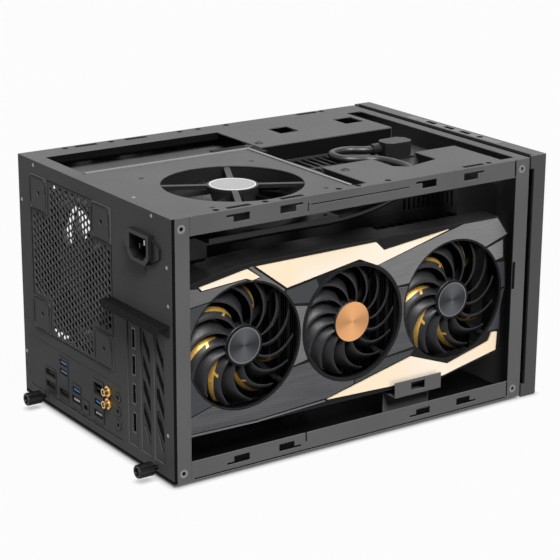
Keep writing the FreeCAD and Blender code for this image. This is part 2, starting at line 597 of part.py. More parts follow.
def pocket(body, plane, loops, start, length):
    """Removes material between two heights across a plane."""
    start, length = as_size(start), as_size(length)
    height = start if plane == "XZ" else start + length
    feature = body.newObject("PartDesign::Pocket", "pocket")
    feature.Profile = draw(body, plane, height, loops)
    feature.setExpression("Length", length.formula)
    return body


def group(label, parts):
    """Several like pieces that share one node."""
    compound = doc.addObject("Part::Compound", "group")
    compound.Links = parts
    return keep(label, compound)


def round_edges(body, radius, chosen):
    """Rounds the edges that the test picks."""
    doc.recompute()
    tip = body.Tip
    names = [f"Edge{n}" for n, edge in enumerate(tip.Shape.Edges, 1) if chosen(edge)]
    fillet = body.newObject("PartDesign::Fillet", "fillet")
    fillet.Base = (tip, names)
    fillet.setExpression("Radius", radius.formula)
    return body


def along_z_at(edge, y):
    """True for an upright edge at one depth."""
    box = edge.BoundBox
    return box.XLength < NEAR and box.YLength < NEAR and abs(box.YMin - y) < NEAR


# Chassis sheets


def hook_slots(edge, inset, inward):
    """L shaped panel slots: the narrow arms lie at the slots' rear, front, rear and front ends."""
    loops = []
    sites = ((first_slot, 1), (second_slot, -1), (third_slot, 1), (fourth_slot, -1))
    near = edge + inset * inward
    narrow = near + slot_arm_height * inward
    far = near + slot_height * inward
    for site, side in sites:
        elbow = rear - site if side > 0 else rear - site - slot_length
        tip = elbow + slot_arm * side
        end = elbow - slot_length * side
        loops.append([(tip, near), (end, near), (end, far), (elbow, far), (elbow, narrow), (tip, narrow)])
    return loops


def build_base_pan():
    body = new_body()
    profile = [(left, foot_height), (right, foot_height), (right, flange_top), (right - gauge, flange_top)]
    profile += [(right - gauge, floor_top), (left + gauge, floor_top)]
    profile += [(left + gauge, flange_top), (left, flange_top)]
    pad(body, "XZ", [profile], frame_front, frame_depth)
    rear_end = rear - rear_post - seam
    front_end = frame_front + front_post + seam
    posts = []
    for low, high in ((left, left + gauge), (right - gauge, right)):
        posts.append(rect(low, high, rear_end, rear))
        posts.append(rect(low, high, frame_front, front_end))
    pocket(body, "XY", posts, floor_top, base_flange)
    pocket(body, "YZ", hook_slots(foot_height, base_slot_edge, 1), left, case_width)
    slit_rear = rear - upright_back
    slit = rect(slit_rear - upright_width, slit_rear, flange_top - base_upright_height, flange_top)
    pocket(body, "YZ", [slit], left, case_width)
    return keep("base_pan", body)


def tab_sites():
    """Low corners of the grille's four plain pads, with the fan screw that each one takes."""
    half = grille_size / 2
    sites = []
    for side in (-1, 1):
        for level in (-1, 1):
            u = grille_x - half if side < 0 else grille_x + half - grille_tab
            v = grille_z - half if level < 0 else grille_z + half - grille_tab
            screw = (grille_x + fan_pitch / 2 * side, grille_z + fan_pitch / 2 * level)
            sites.append((u, v, screw))
    return sites


def hexagon_punch():
    """The grille's hexagon holes, in upright columns, clear of the corner pads."""
    half = grille_size.value / 2
    pad_size = grille_tab.value
    pitch = hex_pitch.value
    radius = (pitch - hex_bar.value) / math.sqrt(3)
    column_step = pitch * math.sqrt(3) / 2
    columns = int((half - radius) / column_step)
    rows = int(half / pitch)
    prisms = []
    for column in range(-columns, columns + 1):
        for row in range(-rows, rows + 1):
            u = column * column_step
            v = row * pitch + (pitch / 2 if column % 2 else 0)
            inside = abs(v) + pitch / 2 < half
            corner = abs(u) + radius > half - pad_size and abs(v) + pitch / 2 > half - pad_size
            if inside and not corner:
                points = round_sites(u, v, radius, range(0, 360, 60))
                wire = Part.makePolygon([FreeCAD.Vector(a, 0, b) for a, b in points + points[:1]])
                prisms.append(Part.Face(wire).extrude(FreeCAD.Vector(0, 4 * gauge.value, 0)))
    punch = doc.addObject("Part::Feature", "hexagon_punch")
    punch.Shape = Part.makeCompound(prisms)
    punch.setExpression("Placement.Base.x", grille_x.formula)
    punch.setExpression("Placement.Base.y", (rear - 2 * gauge).formula)
    punch.setExpression("Placement.Base.z", grille_z.formula)
    return punch


def build_rear_panel():
    body = new_body()
    inner = rear - gauge
    back = rear - rear_post
    profile = [(left, rear), (left, back), (left + gauge, back), (left + gauge, inner)]
    profile += [(right - gauge, inner), (right - gauge, back), (right, back), (right, rear)]
    pad(body, "XY", [profile], floor_top, frame_top - floor_top)
    flange = rect(left + gauge, right - gauge, rear - rear_flange, inner)
    pad(body, "XY", [flange], plate_low, gauge)
    pads = [rect(u, u + grille_tab, v, v + grille_tab) for u, v, _ in tab_sites()]
    pad(body, "XZ", pads, rear, tab_proud)
    openings = [rect(io_left, io_left + io_width, io_bottom, io_bottom + io_height)]
    for number in range(3):
        middle = slot_centre - slot_pitch * number
        openings.append(rect(middle - slot_width / 2, middle + slot_width / 2, slot_bottom, slot_top))
    cut_w = inlet_width / 2 - inlet_rim / 2
    cut_h = inlet_height / 2 - inlet_rim / 2
    openings.append(rect(inlet_x - cut_w, inlet_x + cut_w, inlet_z - cut_h, inlet_z + cut_h))
    for u, v, (screw_x, screw_z) in tab_sites():
        openings.append(Disc(screw_x, screw_z, fan_hole))
        start = u + tab_slot_inset
        top = v + grille_tab - tab_slot_inset
        openings.append(rect(start, start + tab_slot_width, top - tab_slot_height, top))
    openings += [Disc(x, thumb_z, thumb_shank + seam / 2) for x in (thumb_left, thumb_right)]
    pocket(body, "XZ", openings, inner, gauge + tab_proud)
    nut_holes = [Disc(rear - rear_nut, z, nut_radius) for z in (nut_low, nut_high)]
    pocket(body, "YZ", nut_holes, left, case_width)
    panel = doc.addObject("Part::Cut", "panel")
    panel.Base = body
    panel.Tool = hexagon_punch()
    return keep("rear_panel", panel)


def build_front_frame():
    body = new_body()
    inner = frame_front + gauge
    back = frame_front + front_post
    profile = [(left, frame_front), (right, frame_front), (right, back), (right - gauge, back)]
    profile += [(right - gauge, inner), (left + gauge, inner), (left + gauge, back), (left, back)]
    pad(body, "XY", [profile], floor_top, frame_top - floor_top)
    flange = rect(left + gauge, right - gauge, inner, frame_front + front_flange)
    pad(body, "XY", [flange], plate_low, gauge)
    low = case_height / 2 - window_height / 2
    window = rect(left + window_inset, right - window_inset, low, low + window_height)
    pocket(body, "XZ", [window], frame_front, gauge)
    nut_holes = [Disc(rear - front_nut, z, nut_radius) for z in (nut_low, nut_high)]
    pocket(body, "YZ", nut_holes, left, case_width)
    return keep("front_frame", body)


def build_rail(label, side, flange):
    """A top rail: a wall with hook slots, and a top flange. The right rail is a channel with a shelf."""
    body = new_body()
    edge = left if side < 0 else right
    inner = edge - gauge * side
    tip = edge - flange * side
    if side < 0:
        profile = [(inner, rail_bottom), (inner, plate_low), (tip, plate_low)]
    else:
        lip_low = frame_top - rail_lip
        lip_inner = tip + gauge
        profile = [(tip, rail_bottom), (tip, rail_bottom + gauge), (inner, rail_bottom + gauge)]
        profile += [(inner, plate_low), (lip_inner, plate_low), (lip_inner, lip_low), (tip, lip_low)]
    profile += [(tip, frame_top), (edge, frame_top), (edge, rail_bottom)]
    start = frame_front + front_post + seam
    end = rear - rear_post - seam
    pad(body, "XZ", [profile], start, end - start)
    low_x, high_x = (inner + seam, tip) if side < 0 else (tip, inner - seam)
    lugs = [rect(low_x, high_x, frame_front + front_flange, start)]
    lugs.append(rect(low_x, high_x, end, rear - rear_flange))
    pad(body, "XY", lugs, plate_low, gauge)
    if side > 0:
        shelf = rect(right - shelf_width, tip, rear - shelf_back - shelf_length, rear - shelf_back)
        pad(body, "XY", [shelf], rail_bottom, gauge)
    slit_rear = rear - upright_back
    slit_top = frame_top - rail_upright_drop
    slit = rect(slit_rear - upright_width, slit_rear, slit_top - rail_upright_height, slit_top)
    wall = edge if side < 0 else inner
    pocket(body, "YZ", hook_slots(frame_top, slot_edge, -1) + [slit], wall, gauge)
    middle = edge - rail_hole_edge * side
    half = rail_slit_width / 2
    holes = [Disc(middle, rear - site, rail_hole) for site in RAIL_HOLES]
    for site in RAIL_SLITS:
        holes.append(rect(middle - half, middle + half, rear - site - rail_slit_length, rear - site))
    pocket(body, "XY", holes, plate_low, gauge)
    return keep(label, body)


def build_corner_nuts():
    """Nickel clinch nuts in the four posts of each side, which take the side covers' screws."""
    nuts = []
    for side in (-1, 1):
        start = left if side < 0 else right - nut_length
        for back in (rear_nut, front_nut):
            for z in (nut_low, nut_high):
                ring = [Disc(rear - back, z, nut_radius), Disc(rear - back, z, nut_hole)]
                nuts.append(pad(new_body(), "YZ", ring, start, nut_length))
    return group("corner_nuts", nuts)


def build_feet():
    feet = []
    for x in (left + foot_inset, right - foot_inset):
        for y in (frame_front + foot_inset, rear - foot_inset):
            feet.append(pad(new_body(), "XY", [Disc(x, y, foot_radius)], 0, foot_height))
    return group("feet", feet)


def build_thumbscrews():
    """Knurled screws that hold the base to the rear panel."""
    screws = []
    neck_end = rear + thumb_neck_length
    for x in (thumb_left, thumb_right):
        shank = Disc(x, thumb_z, thumb_shank)
        body = pad(new_body(), "XZ", [shank], rear - thumb_thread, thumb_thread + thumb_neck_length)
        pad(body, "XZ", [Disc(x, thumb_z, thumb_neck)], rear, thumb_neck_length)
        pad(body, "XZ", [Disc(x, thumb_z, thumb_head)], neck_end, screw_reach - thumb_neck_length)
        screws.append(body)
    return group("thumbscrews", screws)


def build_slot_clamp():
    """A folded bar over the card brackets' screw tabs."""
    body = new_body()
    high = clamp_z + clamp_height
    lip = rear + clamp_reach
    lip_low = high - clamp_lip
    profile = [(rear, clamp_z), (rear + gauge, clamp_z), (rear + gauge, high - gauge)]
    profile += [(lip - gauge, high - gauge), (lip - gauge, lip_low), (lip, lip_low)]
    profile += [(lip, high), (rear, high)]
    pad(body, "YZ", [profile], clamp_left, clamp_right - clamp_left)
    return keep("slot_clamp", body)


def build_card_holder():
    """A stepped sheet bracket on the floor that steadies the card's lower edge."""
    body = new_body()
    face = left + holder_inset
    leg = face + holder_shelf
    profile = [(face, holder_low), (leg - gauge, holder_low), (leg - gauge, floor_top), (leg, floor_top)]
    profile += [(leg, holder_low + gauge), (face + gauge, holder_low + gauge)]
    profile += [(face + gauge, holder_high), (face, holder_high)]
    start = rear - holder_back - holder_length
    pad(body, "XZ", [profile], start, holder_length)
    middle_y = start + holder_length / 2
    middle_z = (holder_low + gauge + holder_high) / 2
    half = holder_hole / 2
    tall = holder_hole_height / 2
    hole = rect(middle_y - half, middle_y + half, middle_z - tall, middle_z + tall)
    pocket(body, "YZ", [hole], face, gauge)
    return keep("card_holder", body)


# Fascia


def port_openings(margin):
    """The fascia strip's openings: three data sockets and a sound socket."""
    middle = front + strip_front + strip_width / 2
    half_w = usb_width / 2 + margin
    half_h = usb_height / 2 + margin
    loops = [rect(x - half_w, x + half_w, middle - half_h, middle + half_h) for x in USB_CENTRES]
    return loops + [Disc(jack_x, middle, jack_radius + margin)]


def build_front_panel():
    body = new_body()
    face = rect(left, right, fascia_lift, case_height)
    pad(body, "XZ", [face], front, fascia_depth)
    round_edges(body, fascia_edge, lambda edge: along_z_at(edge, front.value))
    wall = fascia_wall
    inside = rect(left + wall, right - wall, fascia_lift + wall, case_height - wall)
    pocket(body, "XZ", [inside], front + wall, fascia_depth - wall)
    tabs = []
    for low, high in ((left, left + wall), (right - wall, right)):
        tabs.append(rect(low, high, fascia_lift, fascia_lift + fascia_tab_height))
        tabs.append(rect(low, high, case_height - fascia_tab_height, case_height))
    pad(body, "XZ", tabs, front + fascia_depth, fascia_tab)
    studs = []
    for x in (left + snap_inset, right - snap_inset):
        for z in (fascia_lift + snap_inset, case_height - snap_inset):
            studs.append(Disc(x, z, snap_radius))
    pad(body, "XZ", studs, front + wall, frame_front - front - wall)
    strip = rect(strip_left, strip_right, front + strip_front, front + strip_front + strip_width)
    pocket(body, "XY", [strip], case_height - strip_thick, strip_thick)
    middle = front + strip_front + strip_width / 2
    openings = port_openings(socket_wall + seam) + [Disc(button_x, middle, button_radius + button_gap)]
    pocket(body, "XY", openings, case_height - wall, wall)
    return keep("front_panel", body)


def build_io_strip():
    body = new_body()
    gap = seam / 2
    low = front + strip_front + gap
    outline = rect(strip_left + gap, strip_right - gap, low, low + strip_width - 2 * gap)
    middle = front + strip_front + strip_width / 2
    openings = port_openings(0) + [Disc(button_x, middle, button_radius + button_gap)]
    pad(body, "XY", [outline] + openings, case_height - strip_thick, strip_thick)
    return keep("io_strip", body)


def build_front_sockets():
    """Socket shells under the fascia's strip, with a tongue in each data socket."""
    sockets = []
    high = case_height - strip_thick
    low = high - socket_depth
    middle = front + strip_front + strip_width / 2
    for outer, inner in zip(port_openings(socket_wall), port_openings(0)):
        body = pad(new_body(), "XY", [outer], low, socket_depth)
        pocket(body, "XY", [inner], low + socket_floor, socket_depth - socket_floor)
        sockets.append(body)
    half = usb_width / 2 - tongue_inset
    for x, body in zip(USB_CENTRES, sockets):
        tongue = rect(x - half, x + half, middle, middle + tongue_thick)
        pad(body, "XY", [tongue], low, socket_depth - socket_wall)
    return group("front_sockets", sockets)


def build_power_button():
    """A stepped push button: the collar under the fascia keeps it in."""
    middle = front + strip_front + strip_width / 2
    under = case_height - fascia_wall - button_gap
    collar = Disc(button_x, middle, collar_radius)
    body = pad(new_body(), "XY", [collar], under - button_collar, button_collar)
    pad(body, "XY", [Disc(button_x, middle, button_radius)], under, case_height - under)
    return keep("power_button", body)


# Top plates


def build_fan_plate():
    body = new_body()
    near = left + left_flange
    back = rear - rear_flange
    ahead = rear - plate_front
    middle = rear - top_fan_back
    outline = rect(near, plate_right, ahead, back)
    holes = [Disc(top_fan_x, middle, plate_hole)]
    holes += [Disc(u, v, fan_hole) for u, v in corners(top_fan_x, middle, fan_pitch)]
    pad(body, "XY", [outline] + holes, plate_low, gauge)
    folded = [(near, ahead), (plate_right, ahead), (plate_right, back), (plate_right - hem, back)]
    folded += [(plate_right - hem, ahead + hem), (near, ahead + hem)]
    pad(body, "XY", [folded], frame_top, cover_step)
    return keep("fan_plate", body)


def build_psu_bracket():
    """A top plate with a notch for the lead, folded down to a foot on the power supply."""
    body = new_body()
    near = left + left_flange
    inner = bracket_right
    back = rear - bracket_back
    ahead = rear - bracket_front
    notch = rear - notch_back
    deep = inner - notch_depth
    outline = [(near, ahead), (inner, ahead), (inner, notch - notch_length)]
    outline += [(deep + notch_slant, notch - notch_length), (deep - notch_slant, notch - notch_point)]
    outline += [(deep + notch_slant, notch), (inner, notch)]
    outline += [(inner, back), (near, back)]
    pad(body, "XY", [outline], plate_low, gauge)
    foot = supply_left + bracket_foot
    profile = [(inner - gauge, supply_top), (foot, supply_top), (foot, supply_top + gauge)]
    profile += [(inner, supply_top + gauge), (inner, frame_top), (inner - gauge, frame_top)]
    pad(body, "XZ", [profile], ahead, notch - notch_length - ahead)
    pad(body, "XZ", [profile], notch, back - notch)
    return keep("psu_bracket", body)


def build_drive_tray():
    """A top plate between the right rail and the power supply, with two cut-outs and a folded edge."""
    body = new_body()
    inner = tray_left
    outer = right - right_flange
    back = rear - tray_back
    ahead = rear - tray_front
    low = inner + tray_hole_inset
    holes = []
    for start in (ahead + tray_hole_front, back - tray_hole_back - tray_hole_length):
        holes.append(rect(low, low + tray_hole, start, start + tray_hole_length))
    pad(body, "XY", [rect(inner, outer, ahead, back)] + holes, plate_low, gauge)
    edge = rect(inner, inner + gauge, ahead, back)
    pad(body, "XY", [edge], supply_top, supply_drop - gauge)
    return keep("drive_tray", body)


# Fans


def fan_sketch_plane(axis):
    return {"Z": "XY", "Y": "XZ", "X": "YZ"}[axis]


def build_fan_frame(label, axis, u, v, low, base_high, strut_turn):
    """A square fan frame: two flanges, a round duct, and a motor base on four struts with its shaft."""
    plane = fan_sketch_plane(axis)
    body = new_body()
    half = fan_side / 2
    bore = Disc(u, v, fan_bore)
    flange = [rect(u - half, u + half, v - half, v + half), bore]
    flange += [Disc(a, b, fan_hole) for a, b in corners(u, v, fan_pitch)]
    pad(body, plane, flange, low, fan_lip)
    pad(body, plane, [Disc(u, v, fan_bore + fan_wall), bore], low, fan_thick)
    pad(body, plane, flange, low + fan_thick - fan_lip, fan_lip)
    base_low = low + fan_thick - strut_thick if base_high else low
    pad(body, plane, [Disc(u, v, fan_hub)], base_low, strut_thick)
    start = fan_hub - strut_bite
    end = fan_bore + strut_bite
    for quarter in range(4):
        strut = bar(u, v, strut_turn + 90 * quarter, start, end, strut_width)
        pad(body, plane, [strut], base_low, strut_thick)
    pin_low = base_low - pin_length if base_high else base_low + strut_thick
    pad(body, plane, [Disc(u, v, pin_radius)], pin_low, pin_length)
    return keep(label, body)


def blade(sections, thickness):
    """A thin blade lofted through sections of (radius, lead angle, trail angle, lead z, trail z)."""
    wires = []
    for radius, lead, trail, lead_z, trail_z in sections:
        edge = []
        for angle, z in ((lead, lead_z), (trail, trail_z)):
            turn = math.radians(angle)
            edge.append((radius * math.cos(turn), radius * math.sin(turn), z))
        lower = [FreeCAD.Vector(x, y, z - thickness / 2) for x, y, z in edge]
        upper = [FreeCAD.Vector(x, y, z + thickness / 2) for x, y, z in reversed(edge)]
        wires.append(Part.makePolygon(lower + upper + lower[:1]))
    return Part.makeLoft(wires, True, True)


def rotor(hub_radius, hub_length, blades):
    """A fan rotor about +Z: a hub with a shaft hole from below, carrying its blades."""
    hub = Part.makeCylinder(hub_radius, hub_length, FreeCAD.Vector(0, 0, hub_gap.value))
    solid = hub.multiFuse(blades)
    hole = Part.makeCylinder(pin_radius.value + pin_fit.value, pin_length.value + hub_gap.value)
    return solid.cut(hole).removeSplitter()


def place_rotor(label, shape, turn_axis, angle, x, y, z):
    feature = doc.addObject("Part::Feature", "rotor")
    feature.Shape = shape
    feature.Placement = FreeCAD.Placement(FreeCAD.Vector(), FreeCAD.Rotation(turn_axis, angle))
    for axis, place in (("x", x), ("y", y), ("z", z)):
        feature.setExpression(f"Placement.Base.{axis}", as_size(place).formula)
    return keep(label, feature)


def blade_ring(count, stations, root, tip, low, high, thickness):
    """Like blades round a hub, each through stations of (share of the span, sweep, chord, edge drop)."""
    blades = []
    for number in range(count):
        turn = 360 * number / count
        sections = []
        for share, sweep, chord, drop in stations:
            radius = root + (tip - root) * share
            lead = turn + sweep
            sections.append((radius, lead, lead + chord, high - drop, low + drop))
        blades.append(blade(sections, thickness))
    return blades


def case_rotor():
    """Nine pitched blades that sweep forward towards their tips."""
    hub_length = fan_thick.value - strut_thick.value - hub_gap.value - hub_short.value
    low = blade_low.value
    high = hub_length - blade_high.value
    root = fan_hub.value - strut_bite.value
    tip = fan_bore.value - fan_tip_gap.value
    blades = blade_ring(CASE_BLADES, CASE_STATIONS, root, tip, low, high, case_blade.value)
    return rotor(fan_hub.value, hub_length, blades)


def card_rotor(opening):
    """Fourteen curved blades, bowed back from the hub and swept forward to the tips."""
    root = card_hub.value - strut_bite.value
    tip = opening.value - blade_gap.value
    low = card_blade_edge.value
    high = card_hub_length.value - card_blade_edge.value
    blades = blade_ring(CARD_BLADES, CARD_STATIONS, root, tip, low, high, card_blade.value)
    return rotor(card_hub.value, card_hub_length.value - hub_gap.value, blades)


def build_case_fans():
    x_axis = FreeCAD.Vector(1, 0, 0)
    y_axis = FreeCAD.Vector(0, 1, 0)
    shape = case_rotor()
    top_y = rear - top_fan_back
    build_fan_frame("top_fan_frame", "Z", top_fan_x, top_y, plate_low - fan_thick, True, 62)
    place_rotor("top_fan_rotor", shape, x_axis, 180, top_fan_x, top_y, plate_low - strut_thick)
    inner = rear - gauge
    build_fan_frame("rear_fan_frame", "Y", grille_x, grille_z, inner - fan_thick, True, 45)
    place_rotor("rear_fan_rotor", shape, x_axis, 90, grille_x, inner - strut_thick, grille_z)
    low = supply_right - supply_wall - fan_thick
    build_fan_frame("psu_fan_frame", "X", supply_fan_y, supply_fan_z, low, False, 45)
    place_rotor("psu_fan_rotor", shape, y_axis, 90, low + strut_thick, supply_fan_y, supply_fan_z)


# Power supply


def build_psu_case():
    body = new_body()
    box = rect(supply_left, supply_right, supply_front, supply_rear)
    pad(body, "XY", [box], supply_low, supply_tall)
    wall = supply_wall
    hollow = rect(supply_left + wall, supply_right - wall, supply_front + wall, supply_rear - wall)
    pocket(body, "XY", [hollow], supply_low + wall, supply_tall - wall)
    lid_y = rear - plug_back
    inlet = rect(plug_x - socket_across, plug_x + socket_across, lid_y - socket_half, lid_y + socket_half)
    rocker_y = rear - rocker_back
    across = rocker_width / 2 + rocker_gap + rocker_wall
    along = rocker_length / 2 + rocker_gap + rocker_wall
    switch = rect(plug_x - across, plug_x + across, rocker_y - along, rocker_y + along)
    vents = []
    step = vent_width + vent_bar
    for row in range(VENT_ROWS):
        y = supply_rear - vent_first - step * row
        for column in range(2):
            low = supply_left + vent_inset + (vent_length + vent_split) * column
            vents.append(rect(low, low + vent_length, y - vent_width, y))
    pad(body, "XY", [box, inlet, switch] + vents, supply_top - wall, wall)
    fan_holes = [Disc(u, v, fan_hole) for u, v in corners(supply_fan_y, supply_fan_z, fan_pitch)]
    fan_holes.append(Disc(supply_fan_y, supply_fan_z, supply_fan))
    pocket(body, "YZ", fan_holes, supply_right - wall, wall)
    louvres = []
    for number in range(LOUVRES):
        y = rear - louvre_back - louvre_pitch * number
        louvres.append(rect(y - louvre_width, y, louvre_z, louvre_z + louvre_height))
    pocket(body, "YZ", louvres, supply_left, wall)
    return keep("psu_case", body)


def build_psu_fan_guard():
    """Flat rings and a cross over the power supply's fan."""
    body = new_body()
    y, z = supply_fan_y, supply_fan_z
    pad(body, "YZ", [Disc(y, z, guard_hub)], supply_right, guard_wire)
    for number in range(GUARD_RINGS):
        radius = guard_first + guard_step * number
        pad(body, "YZ", [Disc(y, z, radius + guard_wire), Disc(y, z, radius)], supply_right, guard_wire)
    reach = fan_pitch * math.sqrt(0.5) + guard_reach
    for quarter in range(4):
        spoke = bar(y, z, 45 + 90 * quarter, guard_hub - guard_wire, reach, guard_spoke)
        pad(body, "YZ", [spoke], supply_right, guard_wire)
    return keep("psu_fan_guard", body)


def build_psu_inlet():
    """The power supply's own inlet under the plug."""
    body = new_body()
    y = rear - plug_back
    across = socket_across - seam
    along = socket_half - seam
    block = rect(plug_x - across, plug_x + across, y - along, y + along)
    pad(body, "XY", [block], supply_top - socket_sink, socket_sink)
    across = plug_width / 2 + socket_lip
    along = plug_length / 2 + socket_lip
    flange = rect(plug_x - across, plug_x + across, y - along, y + along)
    pad(body, "XY", [flange], supply_top, socket_frame)
    return keep("psu_inlet", body)


def build_psu_plug():
    """A right angled plug with cut corners, and the sleeve that its lead leaves by."""
    body = new_body()
    y = rear - plug_back
    half = plug_width / 2
    end = plug_length / 2
    in_x = half - plug_chamfer
    in_y = end - plug_chamfer
    low = supply_top + socket_frame
    outline = [(plug_x - half, y - in_y), (plug_x - in_x, y - end), (plug_x + in_x, y - end)]
    outline += [(plug_x + half, y - in_y), (plug_x + half, y + in_y), (plug_x + in_x, y + end)]
    outline += [(plug_x - in_x, y + end), (plug_x - half, y + in_y)]
    pad(body, "XY", [outline], low, plate_low - low)
    root = y + end - 1
    pad(body, "XZ", [Disc(sleeve_x, sleeve_z, lead_radius + sleeve_wall)], root, sleeve_end - root)
    return keep("psu_plug", body)


def build_psu_switch():
    """The supply's rocker switch: a frame in the lid, and a rocker on two pins."""
    y = rear - rocker_back
    across = rocker_width / 2 + rocker_gap
    along = rocker_length / 2 + rocker_gap
    axis_z = supply_top - rocker_axis
    out_x = across + rocker_wall
    out_y = along + rocker_wall
    outer = rect(plug_x - out_x, plug_x + out_x, y - out_y, y + out_y)
    frame = pad(new_body(), "XY", [outer], supply_top - rocker_depth, rocker_depth)
    well = rect(plug_x - across, plug_x + across, y - along, y + along)
    pocket(frame, "XY", [well], supply_top - rocker_depth + rocker_wall, rocker_depth)
    pocket(frame, "YZ", [Disc(y, axis_z, pin_radius + pin_fit)], plug_x - out_x, 2 * out_x)
    keep("psu_switch_frame", frame)
    half = rocker_length / 2 - rocker_end
    profile = [(y - half, axis_z - rocker_chin), (y, axis_z - rocker_belly)]
    profile.append((y + half, axis_z - rocker_chin))
    profile += [(y + half, axis_z + rocker_raised), (y, axis_z + rocker_middle)]
    profile.append((y - half, axis_z + rocker_lowered))
    rocker = pad(new_body(), "YZ", [profile], plug_x - rocker_width / 2, rocker_width)
    pin = out_x - seam
    pad(rocker, "YZ", [Disc(y, axis_z, pin_radius)], plug_x - pin, 2 * pin)
    return keep("psu_switch", rocker)


# Inlet and lead


def inlet_outline(half_w, half_h, cut):
    """A rectangle with its two lower corners cut off."""
    return [
        (inlet_x - half_w + cut, inlet_z - half_h),
        (inlet_x + half_w - cut, inlet_z - half_h),
        (inlet_x + half_w, inlet_z - half_h + cut),
        (inlet_x + half_w, inlet_z + half_h),
        (inlet_x - half_w, inlet_z + half_h),
        (inlet_x - half_w, inlet_z - half_h + cut),
    ]


def build_inlet():
    body = new_body()
    half_w = inlet_width / 2
    half_h = inlet_height / 2
    gap = seam + inlet_rim / 2
    pad(body, "XZ", [inlet_outline(half_w, half_h, inlet_chamfer)], rear, inlet_proud)
    reach = half_w + inlet_ear
    shoulder = half_h - inlet_rim
    ears = [(inlet_x - half_w, inlet_z - shoulder), (inlet_x + half_w, inlet_z - shoulder)]
    ears += [(inlet_x + reach, inlet_z - ear_half), (inlet_x + reach, inlet_z + ear_half)]
    ears += [(inlet_x + half_w, inlet_z + shoulder), (inlet_x - half_w, inlet_z + shoulder)]
    ears += [(inlet_x - reach, inlet_z + ear_half), (inlet_x - reach, inlet_z - ear_half)]
    pad(body, "XZ", [ears], rear, inlet_ear_thick)
    in_w = half_w - gap
    in_h = half_h - gap
    shank = rect(inlet_x - in_w, inlet_x + in_w, inlet_z - in_h, inlet_z + in_h)
    pad(body, "XZ", [shank], inlet_back, rear - inlet_back)
    recess = inlet_outline(half_w - inlet_rim, half_h - inlet_rim, inlet_chamfer)
    pocket(body, "XZ", [recess], rear + inlet_proud - inlet_depth, inlet_depth)
    keep("inlet_socket", body)
    pins = []
    floor = rear + inlet_proud - inlet_depth
    for across, up in PIN_SITES:
        u = inlet_x + across
        v = inlet_z + up
        blade_box = rect(u - blade_thick / 2, u + blade_thick / 2, v - blade_wide / 2, v + blade_wide / 2)
        pins.append(pad(new_body(), "XZ", [blade_box], floor, blade_length))
    group("inlet_pins", pins)
    tail = new_body()
    tail_top = plate_low - fan_thick - tail_clear
    low = tail_top - tail_height
    half = tail_width / 2
    cut = tail_chamfer
    outline = [(inlet_x - half, low + cut), (inlet_x - half + cut, low), (inlet_x + half - cut, low)]
    outline += [(inlet_x + half, low + cut), (inlet_x + half, tail_top), (inlet_x - half, tail_top)]
    pad(tail, "XZ", [outline], inlet_back - tail_length, tail_length)
    return keep("inlet_tail", tail)


def build_mains_lead():
    """The inner mains lead, from the inlet's tail over the card to the plug, in runs and tangent arcs."""
    tail_end = inlet_back.value - tail_length.value
    tail_z = plate_low.value - fan_thick.value - tail_clear.value - tail_height.value / 2
    back = rear.value
    route = [
        (inlet_x.value, tail_end, tail_z),
        (inlet_x.value, tail_end - lead_start.value, tail_z),
        (-87, back - 125, 179),
        (-93, back - 178, 180),
        (-93, back - 226, 188),
        (-86, back - 258, 199),
        (-64, back - 272, 203),
        (-42, back - 273, 203),
        (-22, back - 266, 203.5),
        (-16, back - 236, 205),
        (5, back - 234, 206.5),
        (7, back - 255, 207),
        (sleeve_x.value, sleeve_end.value + lead_finish.value, sleeve_z.value),
        (sleeve_x.value, sleeve_end.value, sleeve_z.value),
    ]
    points = [FreeCAD.Vector(*place) for place in route]
    radii = []
    edges = []
    start = points[0]
    for before, corner, after in zip(points, points[1:], points[2:]):
        towards = (before - corner).normalize()
        away = (after - corner).normalize()
        turn = math.pi - towards.getAngle(away)
        setback = BEND_SHARE * min((before - corner).Length, (after - corner).Length)
        radius = setback / math.tan(turn / 2)
        radii.append(round(radius))
        arc_start = corner + towards * setback
        arc_end = corner + away * setback
        bisector = (towards + away).normalize()
        middle = corner + bisector * (radius / math.cos(turn / 2) - radius)
        edges.append(Part.LineSegment(start, arc_start).toShape())
        edges.append(Part.Arc(arc_start, middle, arc_end).toShape())
        start = arc_end
    edges.append(Part.LineSegment(start, points[-1]).toShape())
    path = Part.Wire(edges)
    ring = Part.makeCircle(lead_radius.value, points[0], points[0] - points[1])
    tube = path.makePipeShell([Part.Wire([ring])], True, True)
    section = math.pi * lead_radius.value ** 2
    print("lead bend radii", radii, "volume share", round(tube.Volume / (section * path.Length), 4))
    lead = doc.addObject("Part::Feature", "lead")
    lead.Shape = tube
    return keep("mains_lead", lead)


# Main board


def build_motherboard():
    body = new_body()
    back = rear - board_back
    ahead = back - board_side
    holes = []
    for x in (board_left + board_hole_inset, board_left + board_side - board_hole_inset):
        for y in (ahead + board_hole_inset, back - board_hole_rear):
            holes.append(Disc(x, y, board_hole))
    outline = rect(board_left, board_left + board_side, ahead, back)
    pad(body, "XY", [outline] + holes, board_z, board_thick)
    keep("motherboard", body)
    posts = []
    for hole in holes:
        post = Disc(hole.u, hole.v, standoff_radius)
        posts.append(pad(new_body(), "XY", [post], floor_top, board_z - floor_top))
    return group("standoffs", posts)


